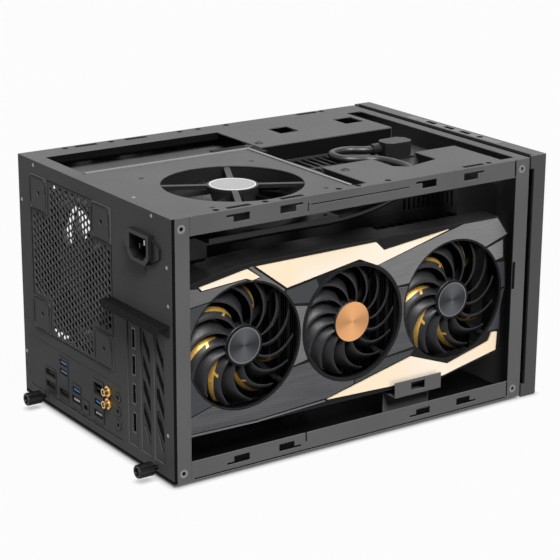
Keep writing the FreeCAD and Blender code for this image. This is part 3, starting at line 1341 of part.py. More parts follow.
PORT_COLUMNS = (
    # middle, width, height over the board, then sockets as (height over the table, width, height)
    (76.5, 18.5, 22.0, ((33.0, 15.5, 5.0), (22.5, 14.5, 5.0))),
    (53.0, 15.0, 38.0, ((49.0, 12.6, 5.0), (41.0, 12.6, 5.0), (22.5, 14.0, 5.0))),
    (31.5, 15.0, 21.0, ((31.5, 12.6, 5.0), (23.0, 12.6, 5.0))),
    (15.5, 10.0, 12.0, ((21.5, 6.0, 4.0),)),
    (-6.0, 17.0, 36.5, ((44.5, 12.0, 9.0), (33.0, 12.6, 5.0), (23.0, 12.6, 5.0))),
)
SOUND_X = -38.0
SOUND_Z = (24.0, 35.7, 47.4)
ANTENNA_X = -25.0
ANTENNA_Z = (38.5, 49.0)


def build_io_shield():
    """The stamped cover in the connector opening, with a rim behind the panel."""
    body = new_body()
    gap = seam / 2
    face = rect(io_left + gap, io_left + io_width - gap, io_bottom + gap, io_bottom + io_height - gap)
    cuts = []
    for middle, width, height, _ in PORT_COLUMNS:
        half = width / 2 + gap
        cuts.append(rect(middle - half, middle + half, board_top + port_lift, board_top + height + gap))
    cuts += [Disc(SOUND_X, z, sound_radius + gap) for z in SOUND_Z]
    cuts += [Disc(ANTENNA_X, z, antenna_radius + gap) for z in ANTENNA_Z]
    inner = rear - gauge
    pad(body, "XZ", [face] + cuts, inner, shield_thick)
    low = io_bottom - shield_rim
    high = io_bottom + io_height + shield_rim
    rim = rect(io_left - shield_rim, io_left + io_width + shield_rim, low, high)
    pad(body, "XZ", [rim] + cuts, inner - shield_back, shield_back)
    return keep("io_shield", body)


def build_rear_ports():
    """Socket blocks on the board's rear edge, each with its recesses, and the three sound sockets."""
    blocks = []
    outer = rear - gauge + shield_thick + port_proud
    for middle, width, height, sockets in PORT_COLUMNS:
        half = width / 2
        shell = rect(middle - half, middle + half, board_top + port_lift, board_top + height)
        body = pad(new_body(), "XZ", [shell], outer - port_length, port_length)
        base = rect(middle - half, middle + half, board_top, board_top + port_lift)
        pad(body, "XZ", [base], outer - port_length, port_length - port_overhang)
        for z, wide, tall in sockets:
            mouth = rect(middle - wide / 2, middle + wide / 2, z - tall / 2, z + tall / 2)
            pocket(body, "XZ", [mouth], outer - port_mouth, port_mouth)
            reach = wide / 2 - port_tongue
            tongue = rect(middle - reach, middle + reach, z - port_tongue / 2, z + port_tongue / 2)
            pad(body, "XZ", [tongue], outer - port_mouth, port_mouth - port_tongue)
        blocks.append(body)
    inner = rear - gauge - shield_back
    tower = rect(SOUND_X - sound_half, SOUND_X + sound_half, board_top, SOUND_Z[-1] + sound_half)
    body = pad(new_body(), "XZ", [tower], inner - sound_length, sound_length)
    pad(body, "XZ", [Disc(SOUND_X, z, sound_radius) for z in SOUND_Z], inner, outer - inner)
    pocket(body, "XZ", [Disc(SOUND_X, z, sound_bore) for z in SOUND_Z], outer - port_mouth, port_mouth)
    blocks.append(body)
    return group("rear_ports", blocks)


def build_antenna_jacks():
    """Two gold antenna sockets on a radio module beside the sound sockets."""
    inner = rear - gauge - shield_back
    tip = rear - gauge + shield_thick + antenna_reach
    high = ANTENNA_Z[-1] + antenna_radius
    module = rect(ANTENNA_X - radio_half, ANTENNA_X + radio_half, board_top, high)
    body = pad(new_body(), "XZ", [module], inner - radio_length, radio_length)
    pad(body, "XZ", [Disc(ANTENNA_X, z, antenna_radius) for z in ANTENNA_Z], inner, tip - inner)
    bores = [Disc(ANTENNA_X, z, antenna_bore) for z in ANTENNA_Z]
    pocket(body, "XZ", bores, tip - antenna_mouth, antenna_mouth)
    contacts = [Disc(ANTENNA_X, z, antenna_contact) for z in ANTENNA_Z]
    pad(body, "XZ", contacts, tip - antenna_mouth, antenna_mouth - antenna_contact)
    return keep("antenna_jacks", body)


def build_memory():
    slots = []
    modules = []
    back = rear - board_back - memory_inset
    ahead = back - memory_length
    floor = board_top + memory_slot_height / 2
    for number in range(2):
        x = memory_x + memory_pitch * number
        block = rect(x - memory_slot_half, x + memory_slot_half, ahead - memory_latch, back + memory_latch)
        body = pad(new_body(), "XY", [block], board_top, memory_slot_height)
        fit = memory_half + groove_fit
        groove = rect(x - fit, x + fit, ahead - groove_fit, back + groove_fit)
        pocket(body, "XY", [groove], floor, memory_slot_height / 2)
        slots.append(body)
        module = rect(x - memory_half, x + memory_half, ahead, back)
        modules.append(pad(new_body(), "XY", [module], floor, memory_height))
    group("memory_slots", slots)
    return group("memory_modules", modules)


def build_cpu_cooler():
    """The processor, and a tower cooler: a base block, four heat pipes and a stack of fins."""
    y = rear - cooler_back
    half = cooler_base / 2
    chip = rect(cooler_x - half, cooler_x + half, y - half, y + half)
    keep("processor", pad(new_body(), "XY", [chip], board_top, chip_height))
    body = new_body()
    base = board_top + chip_height
    half -= block_inset
    block = rect(cooler_x - half, cooler_x + half, y - half, y + half)
    pad(body, "XY", [block], base, block_height)
    pipes = []
    for side in (-1, 1):
        pipes.append(Disc(cooler_x + pipe_aside * side, y - pipe_along, pipe_radius))
        pipes.append(Disc(cooler_x + pipe_aside * side, y + pipe_along, pipe_radius))
    start = base + block_height
    pad(body, "XY", pipes, start, cooler_low + cooler_pitch * COOLER_FINS - start)
    half_w = cooler_width / 2
    half_l = cooler_length / 2
    for number in range(COOLER_FINS):
        fin = rect(cooler_x - half_w, cooler_x + half_w, y - half_l, y + half_l)
        pad(body, "XY", [fin], cooler_low + cooler_pitch * number, gauge)
    return keep("cpu_cooler", body)


# Graphics card


def card_y(along):
    """A place along the card, counted from the middle fan towards the rear."""
    return rear - card_fan_back + along


def card_outline(points):
    return [(card_y(along), card_fan_z + up) for along, up in points]


# Outlines on the card's face, from the middle fan: along towards the rear, and up
SHROUD = ((157.5, -65.5), (-95, -67), (-154, -55), (-156.6, -45.5), (-156.8, -14.5), (-161.4, 1.4))
SHROUD += ((-160.3, 22.8), (-158, 28), (-157.4, 44.8), (-162.5, 48.5), (-149.9, 65.5))
SHROUD += ((96, 66.5), (113, 65.5), (156.5, 57.5))
HOOD = ((138, 60.4), (113, 65), (96, 66), (-40, 65.4))
TRIM_REAR = ((146.1, 54.7), (143.9, 52.2), (104.2, 55), (98.1, 52.7), (91, 54), (102.3, 62.1))
TRIM_MIDDLE = ((94.4, 62.8), (65.7, 40.9), (-4.6, 52.4), (-22.7, 44.4), (-96, 62.5), (-29.6, 55.5))
TRIM_MIDDLE += ((-21.2, 63.6),)
TRIM_FRONT = ((25, -60.9), (-60.1, -41.2), (-99.7, -55.5), (-143.5, -44.1), (-147.1, -36.7))
TRIM_FRONT += ((-152.7, -37), (-151.9, -53), (-94.3, -64.8))
CARD_FANS = (("rear", 1, outer_opening), ("middle", 0, middle_opening), ("front", -1, outer_opening))


def shell_open_back(body, back):
    """Hollows a padded body to the shroud's wall, open on its back face."""
    doc.recompute()
    tip = body.Tip
    faces = enumerate(tip.Shape.Faces, 1)
    names = [f"Face{n}" for n, face in faces if abs(face.CenterOfMass.x - back) < NEAR]
    shell = body.newObject("PartDesign::Thickness", "shell")
    shell.Base = (tip, names)
    shell.setExpression("Value", shroud_wall.formula)
    shell.Reversed = True
    shell.Join = 1
    return body


def build_card_shroud():
    """The card's moulded face with three fan openings, and a hood over the rear half of the fins."""
    body = new_body()
    pad(body, "YZ", [card_outline(SHROUD)], face_x, shroud_depth)
    shell_open_back(body, shroud_back.value)
    hood = card_outline(HOOD)
    hood += [(y, z - hood_thick) for y, z in reversed(hood)]
    pad(body, "YZ", [hood], shroud_back - seam, hood_depth)
    openings = []
    for _, place, opening in CARD_FANS:
        openings.append(Disc(card_y(card_fan_pitch * place), card_fan_z, opening))
    pocket(body, "YZ", openings, face_x, shroud_wall)
    radii = (middle_opening + ring_width, middle_opening)
    ring = [Disc(card_y(0), card_fan_z, radius) for radius in radii]
    pad(body, "YZ", ring, face_x - ring_proud, ring_proud)
    return keep("card_shroud", body)


def build_card_trims():
    for label, outline in (("rear", TRIM_REAR), ("middle", TRIM_MIDDLE), ("front", TRIM_FRONT)):
        trim = pad(new_body(), "YZ", [card_outline(outline)], face_x - trim_thick, trim_thick)
        keep(f"card_trim_{label}", trim)


def build_card_fans():
    """Each fan: a motor base on four arms, posts to the shroud and the heatsink, a rotor and a hub cap."""
    mounts = []
    y_axis = FreeCAD.Vector(0, 1, 0)
    for label, place, opening in CARD_FANS:
        y = card_y(card_fan_pitch * place)
        body = pad(new_body(), "YZ", [Disc(y, card_fan_z, mount_radius)], mount_front, mount_thick)
        pad(body, "YZ", [Disc(y, card_fan_z, pin_radius)], mount_front - pin_length, pin_length)
        reach = opening + post_out
        for quarter in range(4):
            arm = bar(y, card_fan_z, 45 + 90 * quarter, mount_radius - strut_bite, reach, arm_width)
            pad(body, "YZ", [arm], mount_front, mount_thick)
        posts = [Disc(u, v, post_radius) for u, v in round_sites(y, card_fan_z, reach, (45, 135, 225, 315))]
        pad(body, "YZ", posts, shroud_inside, sink_front - shroud_inside)
        mounts.append(body)
        shape = card_rotor(opening)
        place_rotor(f"card_fan_{label}", shape, y_axis, -90, mount_front, y, card_fan_z)
        cap = pad(new_body(), "YZ", [Disc(y, card_fan_z, card_hub)], hub_front - cap_thick, cap_thick)
        keep(f"card_cap_{label}", cap)
    return group("card_fan_mounts", mounts)


def build_card_heatsink():
    """An aluminium fin stack: upright fins on a base plate towards the card board."""
    body = new_body()
    back = rear - sink_back
    ahead = back - fin_pitch * SINK_FINS - fin_thick
    high_x = card_x - core_height
    block = rect(sink_front, high_x, ahead, back)
    pad(body, "XY", [block], sink_low, sink_high - sink_low)
    gaps = []
    for number in range(SINK_FINS):
        y = back - fin_thick - fin_pitch * number
        gaps.append(rect(sink_front, high_x - fin_plate, y - fin_pitch + fin_thick, y))
    pocket(body, "XY", gaps, sink_low, sink_high - sink_low)
    return keep("card_heatsink", body)


def build_card_board():
    body = new_body()
    back = rear - card_back
    ahead = back - card_length
    tab_rear = rear - edge_back
    tab_front = tab_rear - edge_length
    outline = [(ahead, card_bottom), (tab_front, card_bottom), (tab_front, groove_floor)]
    outline += [(tab_rear, groove_floor), (tab_rear, card_bottom), (back, card_bottom)]
    outline += [(back, card_top), (ahead, card_top)]
    pad(body, "YZ", [outline], card_x, board_thick)
    keep("card_board", body)
    half = core_side / 2
    core_y = card_y(core_along)
    core = rect(core_y - half, core_y + half, card_fan_z - half, card_fan_z + half)
    keep("card_core", pad(new_body(), "YZ", [core], card_x - core_height, core_height))
    plate = new_body()
    start = card_x + board_thick + backplate_gap
    low = card_bottom + plate_below
    outline = rect(ahead - plate_ahead, back - plate_behind, low, card_top + plate_above)
    pad(plate, "YZ", [outline], start, backplate_thick)
    posts = []
    for y in (ahead + post_inset, back - post_inset):
        for z in (card_bottom + post_edge, card_top - post_edge):
            posts.append(Disc(y, z, post_radius))
    pad(plate, "YZ", posts, card_x + board_thick, backplate_gap)
    return keep("card_backplate", plate)


def build_card_slot():
    body = new_body()
    centre = card_x + board_thick / 2
    half = slot_block_width / 2
    high = rear - edge_back
    low = high - edge_length
    outline = rect(centre - half, centre + half, low - slot_end, high + slot_end)
    pad(body, "XY", [outline], board_top, slot_block_height)
    fit = board_thick / 2 + groove_fit
    groove = rect(centre - fit, centre + fit, low - groove_fit, high + groove_fit)
    pocket(body, "XY", [groove], groove_floor, groove_depth)
    return keep("card_slot", body)


def build_card_bracket():
    """The card's three slot end plate: display sockets in the first slot, slanted vents in the others."""
    body = new_body()
    half = slot_pitch / 2
    low_x = slot_centre - slot_pitch * 2 - half
    high_x = slot_centre + half - bracket_edge
    face = rect(low_x, high_x, bracket_low, bracket_high)
    gap = seam / 2
    wide = display_half + gap
    tall = display_tall + gap
    cuts = [rect(slot_centre - wide, slot_centre + wide, z - tall, z + tall) for z in DISPLAY_Z]
    for number in (1, 2):
        start = slot_centre - slot_pitch * number - (vent_lean + vent_gap) / 2
        for step in range(BRACKET_VENTS):
            low = vent_low + vent_step * step
            high = low + vent_tall
            lower = [(start, low), (start + vent_gap, low)]
            upper = [(start + vent_lean + vent_gap, high), (start + vent_lean, high)]
            cuts.append(lower + upper)
    inner = rear - 2 * gauge
    pad(body, "XZ", [face] + cuts, inner, gauge)
    keep("card_bracket", body)
    ports = []
    left_x = slot_centre - display_half
    right_x = slot_centre + display_half
    start = inner - display_length
    for z in DISPLAY_Z:
        shell = rect(left_x, right_x, z - display_tall, z + display_tall)
        port = pad(new_body(), "XZ", [shell], start, display_length + display_proud)
        base = rect(left_x, card_x, z - display_tall, z + display_tall)
        pad(port, "XZ", [base], start, display_length - card_back)
        across = display_half - display_wall
        up = display_tall - display_wall
        mouth = rect(slot_centre - across, slot_centre + across, z - up, z + up)
        pocket(port, "XZ", [mouth], inner + display_proud - display_mouth, display_mouth)
        ports.append(port)
    return group("card_ports", ports)


for builder in (
    build_base_pan,
    build_rear_panel,
    build_front_frame,
    build_corner_nuts,
    build_feet,
    build_thumbscrews,
    build_slot_clamp,
    build_card_holder,
    build_front_panel,
    build_io_strip,
    build_front_sockets,
    build_power_button,
    build_fan_plate,
    build_psu_bracket,
    build_drive_tray,
    build_case_fans,
    build_psu_case,
    build_psu_fan_guard,
    build_psu_inlet,
    build_psu_plug,
    build_psu_switch,
    build_inlet,
    build_mains_lead,
    build_motherboard,
    build_io_shield,
    build_rear_ports,
    build_antenna_jacks,
    build_memory,
    build_cpu_cooler,
    build_card_shroud,
    build_card_trims,
    build_card_fans,
    build_card_heatsink,
    build_card_board,
    build_card_slot,
    build_card_bracket,
):
    builder()
build_rail("left_rail", -1, left_flange)
build_rail("right_rail", 1, right_flange)

doc.recompute()
failed = [part.Label for part in doc.Objects if "Invalid" in part.State or "Error" in part.State]
if failed:
    raise RuntimeError(f"these objects failed to build: {failed}")
for label, part in made.items():
    if part.Shape.isNull() or not part.Shape.isValid() or not part.Shape.Solids:
        raise RuntimeError(f"{label} has no valid shape")

os.makedirs("parts", exist_ok=True)
for label, part in made.items():
    part.Shape.exportStep(f"parts/{label}.step")
print("sub-parts:", len(made))
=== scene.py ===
import math

import bmesh
import bpy
from mathutils import Matrix, Vector


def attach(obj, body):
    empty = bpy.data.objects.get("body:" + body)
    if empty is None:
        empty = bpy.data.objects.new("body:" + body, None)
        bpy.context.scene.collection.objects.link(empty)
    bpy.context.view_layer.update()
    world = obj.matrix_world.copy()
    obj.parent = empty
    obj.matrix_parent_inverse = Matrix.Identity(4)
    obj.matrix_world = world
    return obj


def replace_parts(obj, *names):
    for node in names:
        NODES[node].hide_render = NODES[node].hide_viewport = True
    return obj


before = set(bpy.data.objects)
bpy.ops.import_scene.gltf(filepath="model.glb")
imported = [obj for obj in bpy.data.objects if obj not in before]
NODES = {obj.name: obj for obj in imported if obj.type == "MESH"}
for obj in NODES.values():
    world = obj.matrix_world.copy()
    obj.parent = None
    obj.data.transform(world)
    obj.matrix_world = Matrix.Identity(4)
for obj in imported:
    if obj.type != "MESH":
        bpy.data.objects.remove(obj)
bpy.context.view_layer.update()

bl_info = {
    "name": "Compact computer case",
    "version": (1, 0, 0),
    "blender": (4, 5, 0),
    "location": "3D View > Sidebar > Case",
    "description": "Finishes and fine detail for an open small computer case",
    "category": "Object",
}

MM = 0.001
AXES = {"X": Vector((1, 0, 0)), "Y": Vector((0, 1, 0)), "Z": Vector((0, 0, 1))}


def linear(code):
    """A linear colour from an sRGB hex code."""
    parts = [int(code[i:i + 2], 16) / 255 for i in (1, 3, 5)]
    return tuple(c / 12.92 if c <= 0.04045 else ((c + 0.055) / 1.055) ** 2.4 for c in parts) + (1.0,)


def spot(plane, u, v, w):
    """A point in metres from millimetres: (u, v) lie across the named axis, and w runs along it."""
    place = {"X": (w, u, v), "Y": (u, w, v), "Z": (u, v, w)}[plane]
    return Vector(place) * MM


# Sizes and colours

SWATCH = {"subtype": "COLOR", "size": 3, "min": 0, "max": 1}


class FinishSettings(bpy.types.PropertyGroup):
    steel: bpy.props.FloatVectorProperty(
        name="Powder coat", description="Colour of the coated steel sheets",
        default=linear("#575757")[:3], **SWATCH)
    fascia: bpy.props.FloatVectorProperty(
        name="Fascia", description="Colour of the moulded front panel",
        default=linear("#393939")[:3], **SWATCH)
    trim: bpy.props.FloatVectorProperty(
        name="Card trim", description="Colour of the anodised trim on the card",
        default=linear("#fbead2")[:3], **SWATCH)
    copper: bpy.props.FloatVectorProperty(
        name="Copper cap", description="Colour of the middle fan's cap",
        default=linear("#dba06c")[:3], **SWATCH)
    gilt: bpy.props.FloatVectorProperty(
        name="Blade gilding", description="Colour of the gilt stripes on the outer fans",
        default=linear("#c09748")[:3], **SWATCH)


class GrilleSettings(bpy.types.PropertyGroup):
    pitch: bpy.props.FloatProperty(
        name="Hole pitch", description="Distance between hexagon holes, middle to middle",
        default=6.0 * MM, min=3 * MM, max=12 * MM, unit="LENGTH")
    bar: bpy.props.FloatProperty(
        name="Bar width", description="Metal left between two holes",
        default=1.5 * MM, min=0.5 * MM, max=4 * MM, unit="LENGTH")


class CardSettings(bpy.types.PropertyGroup):
    plate_height: bpy.props.FloatProperty(
        name="Facet height", description="How far the shroud's facets stand proud",
        default=0.4 * MM, min=0.1 * MM, max=0.8 * MM, unit="LENGTH")
    fin_pitch: bpy.props.FloatProperty(
        name="Fin pitch", description="Distance between the heat sink's fins",
        default=2.2 * MM, min=1.2 * MM, max=6 * MM, unit="LENGTH")


# Places, in millimetres: X runs across the case, Y along it to the rear, and Z up from the table.

REAR_FACE = 175.0
SIDE_FACE = 123.5
FRAME_TOP = 214.0
# How near a face has to lie to a sheet's outer face to belong to it, and how deep its pressed lines are.
NEAR = 0.1
GROOVE = 0.5
# Thickness of the black plates of painted shade.
SHADE_PLATE = 0.12

# The rear panel's grille: its middle, half its width, and the width of the pad in each corner.
GRILLE_X, GRILLE_Z, GRILLE_HALF, GRILLE_PAD = 34.5, 135.0, 67.0, 29.0
GRILLE_INNER = GRILLE_HALF - GRILLE_PAD

# Rivets on the rear panel, across and up, and on its top flange, across and along.
REAR_RIVETS = (
    (96.1, 209.8), (118.7, 175.7), (-94.6, 210.3), (-116.0, 175.2), (-117.3, 145.2), (120.0, 40.2),
    (-114.7, 40.7),
)
FLANGE_RIVET = (-53.0, 166.0)

# Lines pressed into the rear panel under the inlet and beside the connectors: low and high corner.
REAR_LINES = (
    ((-85.6, 160.5), (-84.4, 168.5)), ((-49.5, 121.0), (-48.5, 157.0)),
    ((114.6, 14.0), (115.9, 57.5)), ((-44.0, 12.0), (113.8, 13.2)),
)

# Lines pressed into the sheets' sides: side, start and end along the case, low and high.
SIDE_LINES = {
    "base_pan": (
        (-1, -158.0, 157.0, 3.2, 4.4), (1, -158.0, 157.0, 3.2, 4.4), (-1, -159.9, -158.6, 4.8, 18.4)),
    "left_rail": ((-1, -47.0, 49.0, 206.4, 207.3), (-1, -159.6, -158.0, 199.4, 213.4)),
    "front_frame": ((-1, -163.2, -160.1, 101.0, 125.0),),
    "right_rail": (),
    "fan_plate": (),
}

# The sheets' finishes: powder coat, black painted shade and pale painted highlight, and boxes whose faces
# have the second or third of them: low and high corner.
SHEET_COATS = ("powder_coated_steel", "seam_shadow", "rubbed_coat")
PAINTED_SHADE, PAINTED_HIGHLIGHT = 1, 2
POST_EDGE, HEM_TOP = 172.2, 5.4
# Painted shade: the rear panel's sides beside the posts and its lower hem, the pan's inner floor and the
# right rail's inner lip are black. Painted highlight: the fan plate's raised hem is pale.
PAINT = {
    "rear_panel": (
        (PAINTED_SHADE, (-130.0, POST_EDGE, 0.0), (-123.4, 180.0, 220.0)),
        (PAINTED_SHADE, (123.4, POST_EDGE, 0.0), (130.0, 180.0, 220.0)),
        (PAINTED_SHADE, (-130.0, 174.9, 0.0), (130.0, 180.0, HEM_TOP)),
    ),
    "base_pan": ((PAINTED_SHADE, (-122.4, -175.0, 2.9), (122.4, 175.0, 3.1)),),
    "right_rail": ((PAINTED_SHADE, (98.3, -150.0, 207.0), (98.7, 165.0, 214.2)),),
    "fan_plate": ((PAINTED_HIGHLIGHT, (-120.0, 0.0, 214.1), (40.0, 170.0, 215.1)),),
}

# The rails' middles, and the middles of their slots and holes along the case, with their sizes.
RAILS = (-118.5, 118.5)
RAIL_SLOTS, SLOT_SIZE = (113.0, 64.0, -117.0), (4.4, 21.0)
RAIL_HOLES, HOLE_RADIUS = (133.0, 88.5, 19.5, 0.5, -29.0, -133.5), 2.6

# Vents in the slot covers, across and up, and the tray's side: along, up and across; black plates of painted
# shade cover them.
COVER_MIDDLES = (-82.3, -102.6)
COVER_VENTS = (116.0, 96.0, 76.0, 56.0)
COVER_FACE = 174.0
TRAY_SIDE, TRAY_SHADE = (-77.5, 206.25, 31.0), (140.0, 13.5)

# The black tab at the fan plate's corner, and the screws on the top plates.
CORNER_TAB = ((18.0, -6.6), (47.0, -6.6), (47.0, 34.0), (33.4, 34.0), (33.4, 3.6), (18.0, 3.6))
TAB_LOW, TAB_TOP = 212.6, 213.6
PLATE_SCREWS = ((40.0, -1.5, TAB_TOP), (45.0, -15.0, FRAME_TOP), (-72.0, -21.0, FRAME_TOP))
SCREW_HEAD = ((0, 0.5), (1.4, 0.5), (1.8, 0.9), (3.4, 0.7), (3.8, 0), (0, 0))

# The thumbscrews: places, outer radius, share cut away by the knurl, and profile of radius and place.
THUMB_MIDDLES = (-97.0, 89.0)
THUMB_Z, THUMB_RADIUS, KNURL = 8.8, 5.6, 0.08
THUMB_PROFILE = (
    (0, 170.0), (1.9, 170.0), (1.9, 179.0), (5.0, 179.0), (THUMB_RADIUS, 179.6), (THUMB_RADIUS, 192.3),
    (5.0, 193.0), (3.4, 193.0), (3.0, 191.4), (0, 191.4),
)

# The mains lead's route, from the inlet's tail to the plug.
LEAD_ROUTE = (
    (-83, 127.5, 177), (-83, 97.5, 177), (-87, 50, 179), (-93, -3, 180), (-93, -51, 188),
    (-86, -83, 199), (-64, -97, 203), (-42, -98, 203), (-22, -91, 203.5), (-16, -61, 205),
    (5, -59, 206.5), (7, -80, 207), (-3.5, -92.5, 206.75), (-3.5, -99.5, 206.75),
)

# The top fan's middle, and the profiles of its label and of the rim round it.
TOP_FAN = (-57.5, 78.5)
LABEL = ((0, 213.2), (17.4, 213.2), (17.4, 213.0), (0, 213.0))
LABEL_RIM = ((17.6, 213.0), (17.6, 213.3), (18.6, 213.3), (18.6, 213.0), (17.6, 213.0))

# Sockets at the rear: mouths across, up, wide and tall; tongues across and up; antenna jacks.
MOUTHS = (
    (76.5, 33.0, 15.5, 5.0), (76.5, 22.5, 14.5, 5.0), (53.0, 22.5, 14.0, 5.0), (31.5, 23.0, 12.6, 5.0),
    (-6.0, 23.0, 12.6, 5.0), (-6.0, 44.5, 12.0, 9.0),
)
TONGUES = {
    "blue": ((53.0, 49.0), (53.0, 41.0), (31.5, 31.5), (-6.0, 33.0)),
    "white": ((31.5, 23.0), (-6.0, 23.0)),
}
JACK_X, JACK_HEIGHTS = -25.0, (38.5, 49.0)

# The card: height of its fans, face of its shroud, and its fans with their label, middle along the card,
# opening radius and turn in degrees.
CARD_Z = 99.5
CARD_FACE = -114.0
CARD_FANS = (("rear", 104.0, 51.0, 20.0), ("middle", 0.0, 47.0, 0.0), ("front", -104.0, 51.0, 9.0))

# The card's fans: blades, of which every other one is gilt, their root and thickness, and the hub.
BLADES = 14
BLADE_ROOT, BLADE_GAUGE, BLADE_BACK = 15.5, 0.9, -102.2
HUB = ((0, -112.0), (15.8, -112.0), (16.5, -111.4), (16.5, -101.4), (0, -101.4))

# The heat sink's fins: first and last along the card, size, middle across and up.
FIN_FIRST, FIN_LAST = -142.0, 138.0
FIN_SIZE = (29.5, 0.5, 112.0)
FIN_X, FIN_Z = -77.0, 100.8


# Modelling


def linked(name, bm):
    """An object of a bmesh, linked to the scene."""
    mesh = bpy.data.meshes.new(name)
    bm.to_mesh(mesh)
    bm.free()
    obj = bpy.data.objects.new(name, mesh)
    bpy.context.scene.collection.objects.link(obj)
    return obj


def piece(name, bm, coats, body="case", smooth=None):
    """Makes an object of a bmesh, gives it one finish or several and lets it ride on a body of the frame."""
    obj = linked(name, bm)
    for coat in coats if isinstance(coats, tuple) else (coats,):
        obj.data.materials.append(finish(coat))
    if smooth is not None:
        obj.data.shade_smooth()
        obj.data.set_sharp_from_angle(angle=math.radians(smooth))
    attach(obj, body)
    return obj


def copied(name):
    """A merged copy of a CAD node's mesh."""
    bm = bmesh.new()
    bm.from_mesh(NODES[name].data)
    bmesh.ops.remove_doubles(bm, verts=bm.verts, dist=1e-6)
    return bm


def extruded(bm, faces, push):
    """Extrudes faces by a vector in millimetres, and gives what has grown."""
    grown = bmesh.ops.extrude_face_region(bm, geom=faces)["geom"]
    verts = [g for g in grown if isinstance(g, bmesh.types.BMVert)]
    bmesh.ops.translate(bm, verts=verts, vec=push * MM)
    return grown


def outward(bm):
    """Turns every face outwards."""
    bmesh.ops.recalc_face_normals(bm, faces=bm.faces)


def prism(bm, plane, outline, low, high, bevel=0.0):
    """Adds a straight prism over an outline, with its outer edge rounded by bevel; sizes in millimetres."""
    verts = [bm.verts.new(spot(plane, u, v, low)) for u, v in outline]
    grown = extruded(bm, [bm.faces.new(verts)], AXES[plane] * (high - low))
    outward(bm)
    if bevel:
        edges = [g for g in grown if isinstance(g, bmesh.types.BMEdge)]
        bmesh.ops.bevel(bm, geom=edges, offset=bevel * MM, offset_type="OFFSET", segments=2,
                        profile=0.5, affect="EDGES", material=-1, clamp_overlap=True)


def bead(bm, plane, outline, width, low, high):
    """Adds a closed raised line along the inside of an outline; sizes in millimetres."""
    verts = [bm.verts.new(spot(plane, u, v, low)) for u, v in outline]
    inner = bm.faces.new(verts)
    ring = bmesh.ops.inset_region(
        bm, faces=[inner], thickness=width * MM, use_even_offset=True, use_boundary=True)["faces"]
    bmesh.ops.delete(bm, geom=[inner], context="FACES_ONLY")
    extruded(bm, ring, AXES[plane] * (high - low))
    outward(bm)


def cut_at(bm, axis, at):
    """Cuts every face along a plane across an axis, at a place in millimetres."""
    bmesh.ops.bisect_plane(bm, geom=bm.verts[:] + bm.edges[:] + bm.faces[:], dist=1e-7,
                           plane_co=AXES[axis] * at * MM, plane_no=AXES[axis])


def faces_in(bm, low, high):
    """The faces whose middle lies in a box; corners in millimetres."""
    found = []
    for face in bm.faces:
        point = face.calc_center_median() / MM
        if all(a < c < b for a, c, b in zip(low, point, high)):
            found.append(face)
    return found


def score(bm, low, high, push):
    """Presses a shallow groove into a sheet's face, in a box, painted black inside as painted shade; sizes in
    millimetres.
    """
    for corner in (low, high):
        for axis, at in zip(AXES, corner):
            cut_at(bm, axis, at)
    inside = faces_in(bm, low, high)
    grown = extruded(bm, inside, Vector(push))
    bmesh.ops.delete(bm, geom=inside, context="FACES")
    # Painted shade: the groove's faces are black.
    for item in grown:
        if isinstance(item, bmesh.types.BMFace):
            item.material_index = PAINTED_SHADE


def paint(bm, name):
    """Gives the faces in a sheet's paint boxes their finish: a black painted shade or a pale painted
    highlight.
    """
    for index, low, high in PAINT.get(name, ()):
        for face in faces_in(bm, low, high):
            face.material_index = index


def turned(bm, plane, u, v, profile, steps=32):
    """Adds a turned shape: a profile of (radius, height) in millimetres, spun about an axis."""
    old = set(bm.verts)
    verts = [bm.verts.new(spot(plane, u + radius, v, height)) for radius, height in profile]
    edges = [bm.edges.new(pair) for pair in zip(verts, verts[1:])]
    bmesh.ops.spin(bm, geom=verts + edges, cent=spot(plane, u, v, 0), axis=AXES[plane],
                   angle=2 * math.pi, steps=steps, use_merge=True)
    new = [vert for vert in bm.verts if vert not in old]
    bmesh.ops.remove_doubles(bm, verts=new, dist=1e-7)
    outward(bm)


def arc(u, v, radius, start, end, steps=10):
    """Points on a circle from one angle to another, in degrees."""
    turns = [math.radians(start + (end - start) * n / steps) for n in range(steps + 1)]
    return [(u + radius * math.cos(t), v + radius * math.sin(t)) for t in turns]


def oblong(u, v, wide, tall):
    """Corners of a rectangle about its middle."""
    a, b = wide / 2, tall / 2
    return [(u - a, v - b), (u + a, v - b), (u + a, v + b), (u - a, v + b)]


# Materials

# The part of a noise's range in which nearly all of it lies.
MOST = {"From Min": 0.3, "From Max": 0.7}


def fill(tree, node, inputs):
    """Sets a node's inputs, or links them to a socket or to another node's first output."""
    for name, value in inputs.items():
        if isinstance(value, bpy.types.Node):
            value = value.outputs[0]
        if isinstance(value, bpy.types.NodeSocket):
            tree.links.new(value, node.inputs[name])
        else:
            node.inputs[name].default_value = value


def add(tree, kind, inputs=None, **options):
    """Adds a node with its settings, and sets or links its inputs."""
    node = tree.nodes.new("ShaderNode" + kind)
    for name, value in options.items():
        setattr(node, name, value)
    fill(tree, node, inputs or {})
    return node


def begin(name):
    """A new material with its tree, shader and Object coordinates."""
    material = bpy.data.materials.new(name)
    material.use_nodes = True
    tree = material.node_tree
    shader = tree.nodes["Principled BSDF"]
    place = add(tree, "TexCoord").outputs["Object"]
    return material, tree, shader, place


def per(size):
    """A texture's scale for a real size in millimetres."""
    return 1000.0 / size


def settings():
    """The colours that a user may change."""
    return bpy.context.scene.case_finish


def speckled(tree, place, colour, size, detail, low, high):
    """A noise of a real size, and a colour that varies in brightness with it."""
    noise = add(tree, "TexNoise", {"Vector": place, "Scale": per(size), "Detail": detail})
    tone = add(tree, "MapRange", {"Value": noise, **MOST, "To Min": low, "To Max": high})
    shade = add(tree, "HueSaturation", {"Color": colour, "Value": tone})
    return noise, shade


